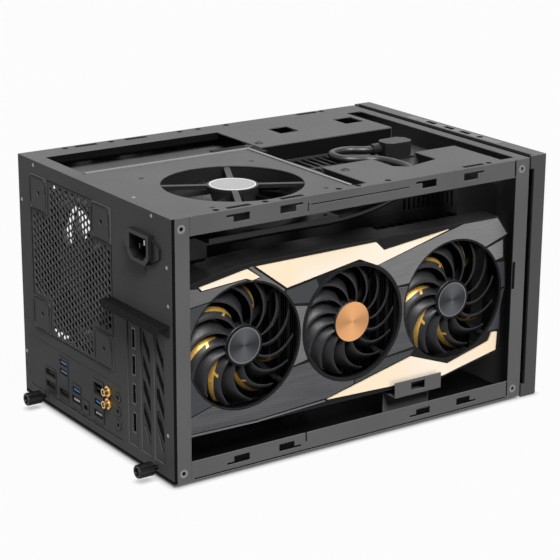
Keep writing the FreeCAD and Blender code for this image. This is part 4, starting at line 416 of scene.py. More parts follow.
def bevel_highlight(tree, radius, bent, low, high):
    """A painted highlight: a value that goes from low on flat faces to high along edges, and the normal
    rounded there.
    """
    rounded = add(tree, "Bevel", {"Radius": radius * MM}, samples=6)
    flat = add(tree, "NewGeometry")
    bend = add(tree, "VectorMath", {0: rounded, 1: flat.outputs["Normal"]}, operation="DOT_PRODUCT")
    painted_edge_highlight = add(tree, "MapRange", {
        "Value": bend.outputs["Value"], "From Min": 1.0, "From Max": bent, "To Min": low, "To Max": high})
    return painted_edge_highlight, rounded


def powder_coated_steel(name):
    """Steel sheet with a dark, finely pebbled powder coat: matt, with a painted highlight along its folds and
    cuts.
    """
    material, tree, shader, place = begin(name)
    # The pebble of a powder coat is about 0.5 mm, drawn at 1.6 mm so that it shows.
    pebble = add(tree, "TexNoise", {"Vector": place, "Scale": per(1.6), "Detail": 3.0})
    cloud = add(tree, "TexNoise", {"Vector": place, "Scale": per(70), "Detail": 2.0})
    tone = add(tree, "MapRange", {"Value": cloud, **MOST, "To Min": 0.92, "To Max": 1.08})
    # Painted highlight: the coat is paler along folds and cuts.
    edge_highlight, rounded = bevel_highlight(tree, 0.6, 0.75, 0.0, 0.55)
    tone_and_highlight = add(tree, "Math", {0: tone, 1: edge_highlight}, operation="ADD")
    shade = add(tree, "HueSaturation", {"Color": (*settings().steel, 1.0), "Value": tone_and_highlight})
    gloss = add(tree, "MapRange", {"Value": pebble, **MOST, "To Min": 0.58, "To Max": 0.7})
    bump = add(tree, "Bump", {
        "Strength": 0.2, "Distance": 0.15 * MM, "Height": pebble, "Normal": rounded})
    fill(tree, shader, {
        "Base Color": shade, "Roughness": gloss, "Normal": bump, "Specular IOR Level": 0.12})
    return material


def moulded_abs(name):
    """ABS moulded against a spark-eroded tool: an even satin with a fine sandy grain."""
    material, tree, shader, place = begin(name)
    # Spark grain is about 0.2 mm, drawn at 1.2 mm so that it shows.
    grain, shade = speckled(tree, place, (*settings().fascia, 1.0), 1.2, 4.0, 0.94, 1.05)
    rounded = add(tree, "Bevel", {"Radius": 0.7 * MM}, samples=4)
    bump = add(tree, "Bump", {
        "Strength": 0.15, "Distance": 0.1 * MM, "Height": grain, "Normal": rounded})
    fill(tree, shader, {
        "Base Color": shade, "Normal": bump, "Roughness": 0.48, "Specular IOR Level": 0.35})
    return material


def plastic(name, code, roughness, grain_size, specular=0.4, edge_highlight=0.0):
    """A plastic, paint or paper with a faint grain in its tone and gloss, and, if asked, a painted highlight
    along its edges.
    """
    material, tree, shader, place = begin(name)
    grain, shade = speckled(tree, place, linear(code), grain_size, 3.0, 0.88, 1.1)
    if edge_highlight:
        # Painted highlight: the colour is paler along edges.
        painted_edge_highlight, _ = bevel_highlight(tree, 0.7, 0.8, 1.0, edge_highlight)
        shade = add(tree, "HueSaturation", {"Color": shade, "Value": painted_edge_highlight})
    gloss = add(tree, "MapRange", {
        "Value": grain, **MOST, "To Min": roughness - 0.05, "To Max": roughness + 0.06})
    bump = add(tree, "Bump", {"Strength": 0.08, "Distance": 0.1 * MM, "Height": grain})
    fill(tree, shader, {
        "Base Color": shade, "Roughness": gloss, "Normal": bump, "Specular IOR Level": specular})
    return material


# Colour, roughness, size of the grain in millimetres, specular level and strength of a painted highlight
# along the edges.
PLASTICS = {
    # Polished black ABS of the socket strip.
    "gloss_abs": ("#1b1b1c", 0.18, 8.0, 0.5),
    # Glass-filled PBT of fans, plugs and sockets: near black, half matt.
    "black_pbt": ("#1a1a1b", 0.45, 1.5, 0.25),
    # Smooth satin PBT of the card's fan blades, with a painted highlight along their edges.
    "blade_pbt": ("#202022", 0.4, 3.0, 0.25, 4.0),
    # Black baked paint on the power supply and the card's back plate.
    "painted_supply": ("#2a2a2b", 0.5, 1.2, 0.2),
    # Black satin ABS under the shroud's facets, which shows as dark seams round them, with a painted
    # highlight along its edges.
    "shroud_abs": ("#141415", 0.5, 1.5, 0.12, 6.0),
    # Dark grey satin lacquer on the shroud's plain facets.
    "facet_abs": ("#36373a", 0.42, 1.5, 0.3),
    # Painted shade: near black, on seams, slots, grooves and shaded faces, giving back hardly any light.
    "seam_shadow": ("#0c0c0c", 0.8, 2.0, 0.05),
    # Black enamel on the card's clamp, half matt, with a painted highlight along its folds.
    "clamp_enamel": ("#121213", 0.6, 2.0, 0.06, 4.0),
    # Powder coat on narrow raised hems and beads, pale and smoother: a painted highlight.
    "rubbed_coat": ("#7c7c7c", 0.5, 1.6, 0.15),
    # Moulded rubber of the feet, dull and slightly dusty.
    "rubber": ("#202020", 0.75, 2.0, 0.2),
    # PVC sheath of the mains lead, softly shiny.
    "lead_pvc": ("#19191a", 0.38, 2.5, 0.45),
    # Blue and white PBT tongues of the data sockets.
    "blue_tongue": ("#2f7fb8", 0.4, 1.5),
    "white_tongue": ("#dfe0e0", 0.4, 1.5),
    # Silver paper label on a fan's hub, and the white rim printed round it.
    "label_paper": ("#9a9a9a", 0.5, 1.0, 0.4),
    "label_rim": ("#e6e6e6", 0.5, 1.0, 0.4),
    # Blackened steel of the ports' shells, as dull as the shield.
    "port_shell": ("#2c2c2d", 0.5, 1.0, 0.2),
}


def metal(name, code, roughness, grain_size):
    """A bare or plated metal with a fine unevenness in its tone and gloss."""
    material, tree, shader, place = begin(name)
    grain, shade = speckled(tree, place, linear(code), grain_size, 3.0, 0.93, 1.04)
    gloss = add(tree, "MapRange", {
        "Value": grain, **MOST, "To Min": roughness - 0.08, "To Max": roughness + 0.08})
    fill(tree, shader, {"Base Color": shade, "Roughness": gloss, "Metallic": 1.0})
    return material


# Colour, roughness and size of the grain in millimetres.
METALS = {
    # Bright nickel plating on the inlet's pins and the power supply's fan guard.
    "nickel_plate": ("#b9b9b8", 0.28, 1.0),
    # Dark nickel of standoffs, of the front's and the card's sockets and of the lines round the rear ones.
    "dull_nickel": ("#5a5b5d", 0.4, 1.0),
    # Gold plating on the antenna jacks and their nuts.
    "gold_plate": ("#e2bb80", 0.28, 1.0),
    # Grey zinc plating on the clinch nuts and rivets, dulled by handling.
    "zinc_plate": ("#8a8b8d", 0.32, 1.0),
    # Black zinc plating on screws: dark, with a dull metal shine.
    "black_zinc": ("#2c2c2d", 0.42, 1.0),
    # Stamped aluminium fins, darkened nearly to black as painted shade.
    "fin_aluminium": ("#1f2022", 0.5, 6.0),
    # Nickel-plated copper lid of a processor.
    "chip_lid": ("#a9a9a7", 0.3, 4.0),
}


def solder_mask(name):
    """Black solder mask of a circuit board, with copper tracks that show as faint lines."""
    material, tree, shader, place = begin(name)
    # Tracks are about 0.3 mm apart, drawn at 2.4 mm so that they show.
    tracks = add(tree, "TexBrick", {
        "Vector": place, "Scale": per(2.4), "Color1": linear("#161718"), "Color2": linear("#1b1c1d"),
        "Mortar": linear("#262725"), "Mortar Size": 0.03})
    fill(tree, shader, {"Base Color": tracks, "Roughness": 0.35})
    return material


def champagne_aluminium(name):
    """Aluminium, bead-blasted and anodised a pale gold: an even, pearly gloss."""
    material, tree, shader, place = begin(name)
    # Bead-blast pits are about 0.1 mm, drawn at 1 mm so that they show.
    pits = add(tree, "TexNoise", {"Vector": place, "Scale": per(1.0), "Detail": 4.0})
    cloud = add(tree, "TexNoise", {"Vector": place, "Scale": per(60), "Detail": 1.0})
    tone = add(tree, "MapRange", {"Value": cloud, **MOST, "To Min": 0.95, "To Max": 1.02})
    # The dye took more strongly in places, some 45 mm across.
    dye = add(tree, "TexNoise", {"Vector": place, "Scale": per(45), "Detail": 0.0})
    depth = add(tree, "MapRange", {
        "Value": dye, "From Min": 0.35, "From Max": 0.65, "To Min": 0.85, "To Max": 1.25})
    shade = add(tree, "HueSaturation", {
        "Color": (*settings().trim, 1.0), "Saturation": depth, "Value": tone})
    gloss = add(tree, "MapRange", {"Value": pits, **MOST, "To Min": 0.34, "To Max": 0.46})
    bump = add(tree, "Bump", {"Strength": 0.06, "Distance": 0.05 * MM, "Height": pits})
    fill(tree, shader, {"Base Color": shade, "Roughness": gloss, "Normal": bump, "Metallic": 0.35})
    return material


def woven_moulding(name):
    """Plastic moulded with a twill weave: small tows painted lighter and darker by turns for their sheen,
    under painted bands of light.
    """
    material, tree, shader, place = begin(name)
    lean = (math.radians(38), 0.0, 0.0)
    # Tows of such a texture are about 1 mm, drawn at 1.5 mm so that they show.
    across = add(tree, "Mapping", {"Vector": place, "Rotation": lean})
    tows = add(tree, "TexChecker", {"Vector": across, "Scale": per(1.5)})
    # Painted bands of light, about 14 mm wide, lie aslant over the weave.
    bands = add(tree, "Mapping", {"Vector": place, "Rotation": lean, "Scale": (1.0, 0.12, 1.0)})
    painted_light_band = add(tree, "TexNoise", {"Vector": bands, "Scale": per(7), "Detail": 2.0})
    blend = add(tree, "Math", {0: painted_light_band, 1: 3.2, 2: tows.outputs["Fac"]}, operation="MULTIPLY_ADD")
    reach = {"Value": blend, "From Min": 0.8, "From Max": 3.4}
    tone = add(tree, "MapRange", {**reach, "To Min": 0.62, "To Max": 1.4})
    shade = add(tree, "HueSaturation", {"Color": linear("#48484b"), "Value": tone})
    gloss = add(tree, "MapRange", {**reach, "To Min": 0.52, "To Max": 0.38})
    bump = add(tree, "Bump", {"Strength": 0.15, "Distance": 0.1 * MM, "Height": tows.outputs["Fac"]})
    fill(tree, shader, {
        "Base Color": shade, "Roughness": gloss, "Normal": bump, "Specular IOR Level": 0.3})
    return material


def brushed_moulding(name):
    """Plastic with a metallic lacquer, brushed: long fine streaks in a mid grey."""
    material, tree, shader, place = begin(name)
    # Brush lines are about 0.1 mm wide, drawn at 0.9 mm so that they show.
    lie = add(tree, "Mapping", {
        "Vector": place, "Rotation": (math.radians(-12), 0.0, 0.0), "Scale": (1.0, 0.05, 1.0)})
    streaks = add(tree, "TexNoise", {"Vector": lie, "Scale": per(0.9), "Detail": 3.0})
    tone = add(tree, "MapRange", {"Value": streaks, **MOST, "To Min": 0.86, "To Max": 1.14})
    # The lacquer is darker towards the card's rear end.
    axes = add(tree, "SeparateXYZ", {"Vector": place})
    coat = add(tree, "MapRange", {
        "Value": axes.outputs["Y"], "From Min": 160 * MM, "From Max": -160 * MM,
        "To Min": 0.62, "To Max": 1.1})
    value = add(tree, "Math", {0: tone, 1: coat}, operation="MULTIPLY")
    shade = add(tree, "HueSaturation", {"Color": linear("#727273"), "Value": value})
    gloss = add(tree, "MapRange", {"Value": streaks, **MOST, "To Min": 0.36, "To Max": 0.5})
    fill(tree, shader, {"Base Color": shade, "Roughness": gloss, "Metallic": 0.25})
    return material


def turned_cap(name, colour, y, low, high, ring=0.0):
    """A turned metal cap: fine rings from the lathe, and a painted sheen that fans out from its middle in two
    bright and two dark sectors.

    A ring, if it has one, is bright, and the cap is black outside it.
    """
    material, tree, shader, place = begin(name)
    middle = add(tree, "VectorMath", {0: place, 1: (0.0, y * MM, CARD_Z * MM)}, operation="SUBTRACT")
    flat = add(tree, "VectorMath", {0: middle, 1: (0.0, 1.0, 1.0)}, operation="MULTIPLY")
    radius = add(tree, "VectorMath", {0: flat}, operation="LENGTH")
    axes = add(tree, "SeparateXYZ", {"Vector": middle})
    # Painted sheen: the colour swings from dark to bright twice round the cap, standing for the reflection of
    # its turned face.
    angle = add(tree, "Math", {0: axes.outputs["Y"], 1: axes.outputs["Z"]}, operation="ARCTAN2")
    sector_turn = add(tree, "Math", {0: angle, 1: 2.0}, operation="MULTIPLY")
    painted_sheen = add(tree, "Math", {0: sector_turn}, operation="COSINE")
    # Lathe grooves are about 0.1 mm apart, drawn at 0.9 mm so that they show.
    groove = add(tree, "Math", {
        0: radius.outputs["Value"], 1: 2 * math.pi / (0.9 * MM)}, operation="MULTIPLY")
    rings = add(tree, "Math", {0: groove}, operation="SINE")
    height = add(tree, "Math", {0: rings, 1: 0.12, 2: painted_sheen}, operation="MULTIPLY_ADD")
    tone = add(tree, "MapRange", {
        "Value": height, "From Min": -1.1, "From Max": 1.1, "To Min": low, "To Max": high})
    cover = add(tree, "HueSaturation", {"Color": colour, "Value": tone})
    if ring:
        near = add(tree, "Math", {
            0: radius.outputs["Value"], 1: ring * MM, 2: 0.45 * MM}, operation="COMPARE")
        beyond = add(tree, "Math", {0: radius.outputs["Value"], 1: ring * MM}, operation="GREATER_THAN")
        outside = add(tree, "Mix", {0: beyond, 6: cover, 7: linear("#141415")}, data_type="RGBA")
        mixed = add(tree, "Mix", {
            0: near, 6: outside.outputs[2], 7: linear("#727375")}, data_type="RGBA")
        cover = mixed.outputs[2]
    tangent = add(tree, "Tangent", direction_type="RADIAL", axis="X")
    fill(tree, shader, {
        "Base Color": cover, "Tangent": tangent, "Anisotropic": 0.7, "Roughness": 0.34, "Metallic": 0.8})
    return material


def turned_copper(name):
    """Copper-coloured cap of the middle fan."""
    return turned_cap(name, (*settings().copper, 1.0), CARD_FANS[1][1], 0.72, 1.25)


# Dark caps of the outer fans, with one bright turned ring: their places along the card.
DARK_CAPS = {"turned_dark_rear": CARD_FANS[0][1], "turned_dark_front": CARD_FANS[2][1]}


def hot_stamped_gilt(name):
    """Gilt foil hot-stamped on the outer fans' blades: a brownish gold with a soft gloss."""
    material, tree, shader, place = begin(name)
    _, shade = speckled(tree, place, (*settings().gilt, 1.0), 2.5, 3.0, 0.7, 1.15)
    fill(tree, shader, {"Base Color": shade, "Roughness": 0.36, "Metallic": 0.4})
    return material


MAKERS = {maker.__name__: maker for maker in (
    powder_coated_steel, moulded_abs, solder_mask, champagne_aluminium, woven_moulding, brushed_moulding,
    turned_copper, hot_stamped_gilt)}


def finish(name):
    """A material by its name, made once."""
    made = bpy.data.materials.get(name)
    if made:
        return made
    if name in PLASTICS:
        return plastic(name, *PLASTICS[name])
    if name in METALS:
        return metal(name, *METALS[name])
    if name in DARK_CAPS:
        return turned_cap(name, linear("#47484b"), DARK_CAPS[name], 0.4, 1.7, 14.4)
    return MAKERS[name](name)


def dress(coat, *names):
    """Gives CAD nodes a finish through their material slots."""
    material = finish(coat)
    for name in names:
        node = NODES[name]
        if not node.material_slots:
            node.data.materials.append(material)
        for slot in node.material_slots:
            slot.material = material


# Steps


def rivets():
    """Low rivet heads on the rear panel and on its top flange."""
    bm = bmesh.new()
    for x, z in REAR_RIVETS:
        head = (0, REAR_FACE + 0.7), (1.1, REAR_FACE + 0.5), (1.7, REAR_FACE), (0, REAR_FACE)
        turned(bm, "Y", x, z, head, 14)
    head = (0, FRAME_TOP + 0.6), (1.1, FRAME_TOP + 0.5), (1.7, FRAME_TOP), (0, FRAME_TOP)
    turned(bm, "Z", *FLANGE_RIVET, head, 14)
    piece("panel_rivets", bm, "zinc_plate", smooth=50)


def pressings():
    """Sheets with lines pressed into their sides, with black painted shade on shaded faces or a pale painted
    highlight on a raised hem.
    """
    for name, lines in SIDE_LINES.items():
        bm = copied(name)
        for side, start, end, low, high in lines:
            face = side * SIDE_FACE
            score(bm, (face - NEAR, start, low), (face + NEAR, end, high), (-GROOVE * side, 0.0, 0.0))
        paint(bm, name)
        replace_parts(piece(f"{name}_pressed", bm, SHEET_COATS), name)


def slots():
    """Painted shade: black plates in the slots and holes along the rails, in the slot covers' vents and on
    the tray's side.
    """
    bm = bmesh.new()
    for x in RAILS:
        for y in RAIL_SLOTS:
            prism(bm, "Z", oblong(x, y, *SLOT_SIZE), FRAME_TOP, FRAME_TOP + SHADE_PLATE)
        for y in RAIL_HOLES:
            prism(bm, "Z", arc(x, y, HOLE_RADIUS, 0, 330, 11), FRAME_TOP, FRAME_TOP + SHADE_PLATE)
    for x in COVER_MIDDLES:
        for z in COVER_VENTS:
            leaning = [(x + 5.0, z), (x + 5.0, z - 9.0), (x - 5.0, z - 25.0), (x - 5.0, z - 16.0)]
            prism(bm, "Y", leaning, COVER_FACE, COVER_FACE + SHADE_PLATE)
    y, z, x = TRAY_SIDE
    prism(bm, "X", oblong(y, z, *TRAY_SHADE), x, x - 0.15)
    piece("slot_painted_shade", bm, "seam_shadow")


def corner():
    """Black tab with a screw that joins the fan plate's corner to the plates beside it; its long arm along
    the fan plate's edge is black as painted shade over the gap there.
    """
    bm = bmesh.new()
    prism(bm, "Z", CORNER_TAB, TAB_LOW, TAB_TOP, 0.3)
    piece("plate_corner_tab", bm, "clamp_enamel")
    bm = bmesh.new()
    for x, y, z in PLATE_SCREWS:
        turned(bm, "Z", x, y, [(radius, z + rise) for radius, rise in SCREW_HEAD], 24)
    piece("plate_screws", bm, "black_zinc", smooth=40)


def thumbscrews():
    """Knurled thumbscrews with a recessed end, which hold the rear panel to the floor."""
    bm = bmesh.new()
    for x in THUMB_MIDDLES:
        turned(bm, "Y", x, THUMB_Z, THUMB_PROFILE, 36)
        for vert in bm.verts:
            u, v = vert.co.x / MM - x, vert.co.z / MM - THUMB_Z
            rim = abs(math.hypot(u, v) - THUMB_RADIUS) < 0.05
            if rim and round(math.degrees(math.atan2(v, u)) / 10) % 2:
                vert.co.x -= u * KNURL * MM
                vert.co.z -= v * KNURL * MM
    screws = piece("knurled_thumbscrews", bm, "black_zinc", smooth=25)
    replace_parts(screws, "thumbscrews")


class CASE_OT_sheet_metal(bpy.types.Operator):
    """Powder coats the folded sheets and adds their small screws and rivets"""
    bl_idname = "case.sheet_metal"
    bl_label = "Sheet metal"

    def execute(self, context):
        dress("powder_coated_steel", "psu_bracket", "drive_tray", "card_holder", "card_bracket")
        dress("clamp_enamel", "slot_clamp")
        dress("zinc_plate", "corner_nuts")
        dress("rubber", "feet")
        rivets()
        thumbscrews()
        pressings()
        slots()
        corner()
        return {"FINISHED"}


def beads(reach, half):
    """Raised lines round the four screw pads, with round corners, and round the grille between them."""
    bm = bmesh.new()
    turn = half - 4.0
    for side in (-1, 1):
        for rise in (-1, 1):
            u, v = GRILLE_X + side * reach, GRILLE_Z + rise * reach
            outline = []
            for start, a, b in ((0, 1, 1), (90, -1, 1), (180, -1, -1), (270, 1, -1)):
                outline += arc(u + a * turn, v + b * turn, 4.0, start, start + 90, 4)
            bead(bm, "Y", outline, 0.9, REAR_FACE + 0.7, REAR_FACE + 1.2)
    cross = []
    near, far = reach - half - 1.2, reach + half + 1.2
    for a, b in ((1, 1), (-1, 1), (-1, -1), (1, -1)):
        corner = [(far, near), (near, near), (near, far)]
        if a * b < 0:
            corner.reverse()
        cross += [(GRILLE_X + a * u, GRILLE_Z + b * v) for u, v in corner]
    bead(bm, "Y", cross, 0.8, REAR_FACE - 0.1, REAR_FACE + 0.4)
    # Painted highlight: the beads are pale.
    piece("pad_beads", bm, "rubbed_coat")


def in_grille(face, u=0.0, v=0.0):
    """Whether a face, with some room beside and above its middle, lies in the grille and off its pads."""
    point = face.calc_center_median() / MM
    u += abs(point.x - GRILLE_X)
    v += abs(point.z - GRILLE_Z)
    return max(u, v) < GRILLE_HALF and min(u, v) <= GRILLE_INNER


def cut(bm):
    """Cuts every face along the grille's edges."""
    for reach in (GRILLE_HALF, GRILLE_INNER):
        for side in (-1, 1):
            cut_at(bm, "X", GRILLE_X + side * reach)
            cut_at(bm, "Z", GRILLE_Z + side * reach)


def punch(bm, sizes):
    """Adds the sheet with its hexagon holes in upright columns, cut square at the grille's edges."""
    net = bmesh.new()
    pitch = sizes.pitch / MM
    cell = pitch / math.sqrt(3)
    hole = (pitch - sizes.bar / MM) / math.sqrt(3)
    step = pitch * math.sqrt(3) / 2
    columns = int(GRILLE_HALF / step) + 1
    rows = int(GRILLE_HALF / pitch) + 1
    for column in range(-columns, columns + 1):
        for row in range(-rows, rows + 1):
            u = column * step
            v = row * pitch + (pitch / 2 if column % 2 else 0)
            outer = [net.verts.new(spot("Y", GRILLE_X + a, GRILLE_Z + b, REAR_FACE))
                     for a, b in arc(u, v, cell, 0, 300, 5)]
            net.faces.new(outer)
    bmesh.ops.remove_doubles(net, verts=net.verts, dist=1e-6)
    whole = [face for face in net.faces if in_grille(face, hole + 0.5, pitch / 2 + 0.3)]
    bmesh.ops.inset_individual(net, faces=whole, thickness=sizes.bar / 2, use_even_offset=True)
    bmesh.ops.delete(net, geom=whole, context="FACES")
    cut(net)
    gone = [face for face in net.faces if not in_grille(face)]
    bmesh.ops.delete(net, geom=gone, context="FACES")
    extruded(net, net.faces[:], -AXES["Y"])
    outward(net)
    sheet = bpy.data.meshes.new("punched_sheet")
    net.to_mesh(sheet)
    net.free()
    bm.from_mesh(sheet)
    bpy.data.meshes.remove(sheet)


class CASE_OT_rear_grille(bpy.types.Operator):
    """Makes the rear panel with its fine punched grille"""
    bl_idname = "case.rear_grille"
    bl_label = "Rear grille"

    def execute(self, context):
        bm = copied("rear_panel")
        cut(bm)
        sheet = faces_in(bm, (-SIDE_FACE, REAR_FACE - 1.05, 0), (SIDE_FACE, REAR_FACE + 0.05, FRAME_TOP))
        gone = [face for face in sheet if in_grille(face, 0.01, 0.01)]
        bmesh.ops.delete(bm, geom=gone, context="FACES")
        punch(bm, context.scene.case_grille)
        cut_at(bm, "Y", POST_EDGE)
        cut_at(bm, "Z", HEM_TOP)
        # Painted shade: black bands beside the posts and along the lower hem.
        paint(bm, "rear_panel")
        for (left, low), (right, high) in REAR_LINES:
            score(bm, (left, REAR_FACE - NEAR, low), (right, REAR_FACE + NEAR, high), (0.0, -GROOVE, 0.0))
        grille = piece("rear_panel_punched", bm, SHEET_COATS[:2])
        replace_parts(grille, "rear_panel")
        beads(GRILLE_HALF - GRILLE_PAD / 2, GRILLE_PAD / 2 - 0.8)
        return {"FINISHED"}


class CASE_OT_front(bpy.types.Operator):
    """Finishes the fascia, its socket strip and the power button"""
    bl_idname = "case.front"
    bl_label = "Front panel"

    def execute(self, context):
        dress("moulded_abs", "front_panel")
        dress("gloss_abs", "io_strip", "power_button")
        dress("dull_nickel", "front_sockets")
        return {"FINISHED"}


class CASE_OT_mains(bpy.types.Operator):
    """Finishes the mains inlet and lays the inner lead"""
    bl_idname = "case.mains"
    bl_label = "Mains inlet and lead"

    def execute(self, context):
        dress("black_pbt", "inlet_socket", "inlet_tail", "psu_plug", "psu_inlet", "psu_switch",
              "psu_switch_frame")
        dress("nickel_plate", "inlet_pins")
        curve = bpy.data.curves.new("mains_lead_line", "CURVE")
        curve.dimensions = "3D"
        spline = curve.splines.new("NURBS")
        spline.points.add(len(LEAD_ROUTE) - 1)
        for point, place in zip(spline.points, LEAD_ROUTE):
            point.co = (*(Vector(place) * MM), 1.0)
        spline.order_u = 3
        spline.use_endpoint_u = True
        spline.resolution_u = 8
        curve.bevel_depth = 3.4 * MM
        curve.bevel_resolution = 4
        curve.use_fill_caps = True
        curve.materials.append(finish("lead_pvc"))
        lead = bpy.data.objects.new("mains_lead_cord", curve)
        context.scene.collection.objects.link(lead)
        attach(lead, "case")
        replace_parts(lead, "mains_lead")
        return {"FINISHED"}


class CASE_OT_supply(bpy.types.Operator):
    """Finishes the power supply with its fan and guard"""
    bl_idname = "case.supply"
    bl_label = "Power supply"

    def execute(self, context):
        dress("painted_supply", "psu_case")
        dress("nickel_plate", "psu_fan_guard")
        dress("black_pbt", "psu_fan_frame", "psu_fan_rotor")
        return {"FINISHED"}


class CASE_OT_case_fans(bpy.types.Operator):
    """Finishes the top and rear fans and adds the top fan's label"""
    bl_idname = "case.case_fans"
    bl_label = "Case fans"

    def execute(self, context):
        dress("black_pbt", "top_fan_frame", "top_fan_rotor", "rear_fan_frame", "rear_fan_rotor")
        for name, profile, coat in (
                ("top_fan_label", LABEL, "label_paper"), ("top_fan_label_rim", LABEL_RIM, "label_rim")):
            bm = bmesh.new()
            turned(bm, "Z", *TOP_FAN, profile, 48)
            piece(name, bm, coat, smooth=30)
        return {"FINISHED"}


def mouths():
    """Thin bright lines round the mouths of the sockets."""
    bm = bmesh.new()
    for x, z, wide, tall in MOUTHS:
        bead(bm, "Y", oblong(x, z, wide + 1.0, tall + 1.0), 0.5, REAR_FACE + 0.4, REAR_FACE + 0.6)
    piece("socket_mouths", bm, "dull_nickel")


def tongues():
    """Coloured tongues in the data sockets."""
    for label, places in TONGUES.items():
        bm = bmesh.new()
        for x, z in places:
            prism(bm, "Y", oblong(x, z, 9.8, 2.0), REAR_FACE - 8.0, REAR_FACE - 0.1, 0.2)
        piece(f"socket_tongues_{label}", bm, f"{label}_tongue")


def nuts():
    """Gold hexagon nuts on the antenna jacks."""
    bm = bmesh.new()
    for z in JACK_HEIGHTS:
        prism(bm, "Y", arc(JACK_X, z, 4.9, 15, 315, 5), REAR_FACE, REAR_FACE + 2.6, 0.3)
    piece("antenna_nuts", bm, "gold_plate")


class CASE_OT_board(bpy.types.Operator):
    """Finishes the main board, its cooler and its rear connectors"""
    bl_idname = "case.board"
    bl_label = "Main board"

    def execute(self, context):
        dress("solder_mask", "motherboard", "memory_modules")
        dress("black_pbt", "memory_slots", "card_slot")
        dress("dull_nickel", "standoffs")
        dress("chip_lid", "processor")
        dress("fin_aluminium", "cpu_cooler")
        dress("powder_coated_steel", "io_shield")
        dress("port_shell", "rear_ports")
        dress("gold_plate", "antenna_jacks")
        tongues()
        mouths()
        nuts()
        return {"FINISHED"}


def rotor(label, y, opening, start, gilt):
    """A fan of thin blades that curl forward to their tips, every other one with a gilt edge."""
    bm = bmesh.new()
    tip = opening - 2.0
    for number in (0, 1):
        blade = bmesh.ops.create_grid(bm, x_segments=16, y_segments=8, size=0.5)["verts"]
        faces = list({face for vert in blade for face in vert.link_faces})
        for face in faces:
            along, across, _ = face.calc_center_median() + Vector((0.5, 0.5, 0.0))
            stripe = 0.125 < across < 0.5 and along > 0.2
            notch = 0.4375 < along < 0.5 and 0.5 < across < 0.75
            if gilt and number == 0 and (stripe or notch):
                face.material_index = 1
        for vert in blade:
            along, across = vert.co.x + 0.5, vert.co.y + 0.5
            # The fourth row of points follows the stripe's bowed edge.
            bow = 0.22 + 1.2 * max(0.0, along - 0.2) * (1.05 - along)
            if across > 0.5:
                across = bow + (1.0 - bow) * (across - 0.5) / 0.5
            elif across > 0.1:
                across = 0.1 + (bow - 0.1) * (across - 0.125) / 0.375
            radius = BLADE_ROOT + (tip - BLADE_ROOT) * along
            # The blade's width and sweep, in degrees about the hub, and then its height.
            chord = 15.0 + 13.0 * along * (1.0 - along)
            sweep = 36.0 * along ** 1.8 + chord * (across - 0.5)
            turn = math.radians(start + 360 / BLADES * number + sweep)
            rise = min(1.0, across / 0.85)
            depth = BLADE_BACK - (8.8 - 2.2 * along) * (rise + 0.1 * math.sin(math.pi * rise))
            vert.co = spot("X", y + radius * math.sin(turn), CARD_Z + radius * math.cos(turn), depth)
        bmesh.ops.recalc_face_normals(bm, faces=faces)
        bmesh.ops.solidify(bm, geom=faces, thickness=BLADE_GAUGE * MM)
    pairs = BLADES // 2
    bmesh.ops.spin(
        bm, geom=bm.verts[:] + bm.edges[:] + bm.faces[:], cent=spot("X", y, CARD_Z, 0), axis=AXES["X"],
        angle=2 * math.pi * (pairs - 1) / pairs, steps=pairs - 1, use_duplicate=True)
    outward(bm)
    turned(bm, "X", y, CARD_Z, HUB, 48)
    fan = piece(f"blades_{label}", bm, ("blade_pbt", "hot_stamped_gilt"),
                f"card_rotor_{label}", smooth=40)
    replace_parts(fan, f"card_fan_{label}")


def facets(height):
    """Thin plates that part the shroud's face into facets, with dark seams between them.

    Their outlines run along the card and up from the fans' middles.
    """
    rear, middle, front = (
        (y, 0.0, opening + rim) for (_, y, opening, _), rim in zip(CARD_FANS, (1.6, 3.0, 1.6)))
    woven = [
        [(156.6, -50.2)] + arc(*rear, -56, -149) + arc(*middle, -31, -92)
        + [(-1.2, -53.4), (25.5, -59.8), (92.9, -63.4), (156.0, -62.4)],
        arc(*middle, 155, 226) + arc(*front, -39, 23),
    ]
    brushed = [
        [(156.6, 39.5)] + arc(*rear, 53, 134, 16) + [
            (66.8, 39.5), (95.4, 61.5), (97.0, 63.4), (100.6, 62.5), (89.4, 53.8), (91.0, 52.7),
            (98.2, 51.5), (104.3, 53.7), (144.2, 50.9), (147.0, 53.6), (156.0, 54.4)],
        arc(*rear, -151, -207) + arc(*middle, 26, -27),
        arc(*middle, 153, 119) + [(-97.0, 60.6), (-113.2, 64.2), (-149.4, 64.0), (-160.6, 48.6)]
        + arc(*front, 129, 26, 16),
        arc(*front, 132, 149, 4) + [(-157.0, 28.6), (-156.2, 44.0)],
        [(156.4, -63.3), (93.0, -64.5), (27.0, -61.4), (27.0, -62.6), (93.0, -66.0), (156.4, -65.0)],
    ]
    plain = [
        [(156.8, 38.3), (156.6, -49.0)] + arc(*rear, -54.5, 51),
        arc(*rear, 150, 136, 4) + [(64.6, 38.2), (37.0, 42.6)] + arc(*middle, 47, 29, 4),
        arc(*front, 152, 178, 4) + [(-160.4, 2.0), (-158.6, 24.2)],
        arc(*front, 181, 222, 6) + [(-155.2, -35.0), (-156.0, -14.0), (-160.0, 0.6)],
        arc(*middle, 229, 266, 6) + [(-2.4, -53.2), (-59.4, -40.0), (-63.2, -35.8)],
    ]
    for label, coat, outlines in (
            ("woven", "woven_moulding", woven), ("brushed", "brushed_moulding", brushed),
            ("plain", "facet_abs", plain)):
        bm = bmesh.new()
        for outline in outlines:
            points = [(u, v + CARD_Z) for u, v in outline]
            prism(bm, "X", points, CARD_FACE, CARD_FACE - height, 0.15)
        piece(f"shroud_facets_{label}", bm, coat)


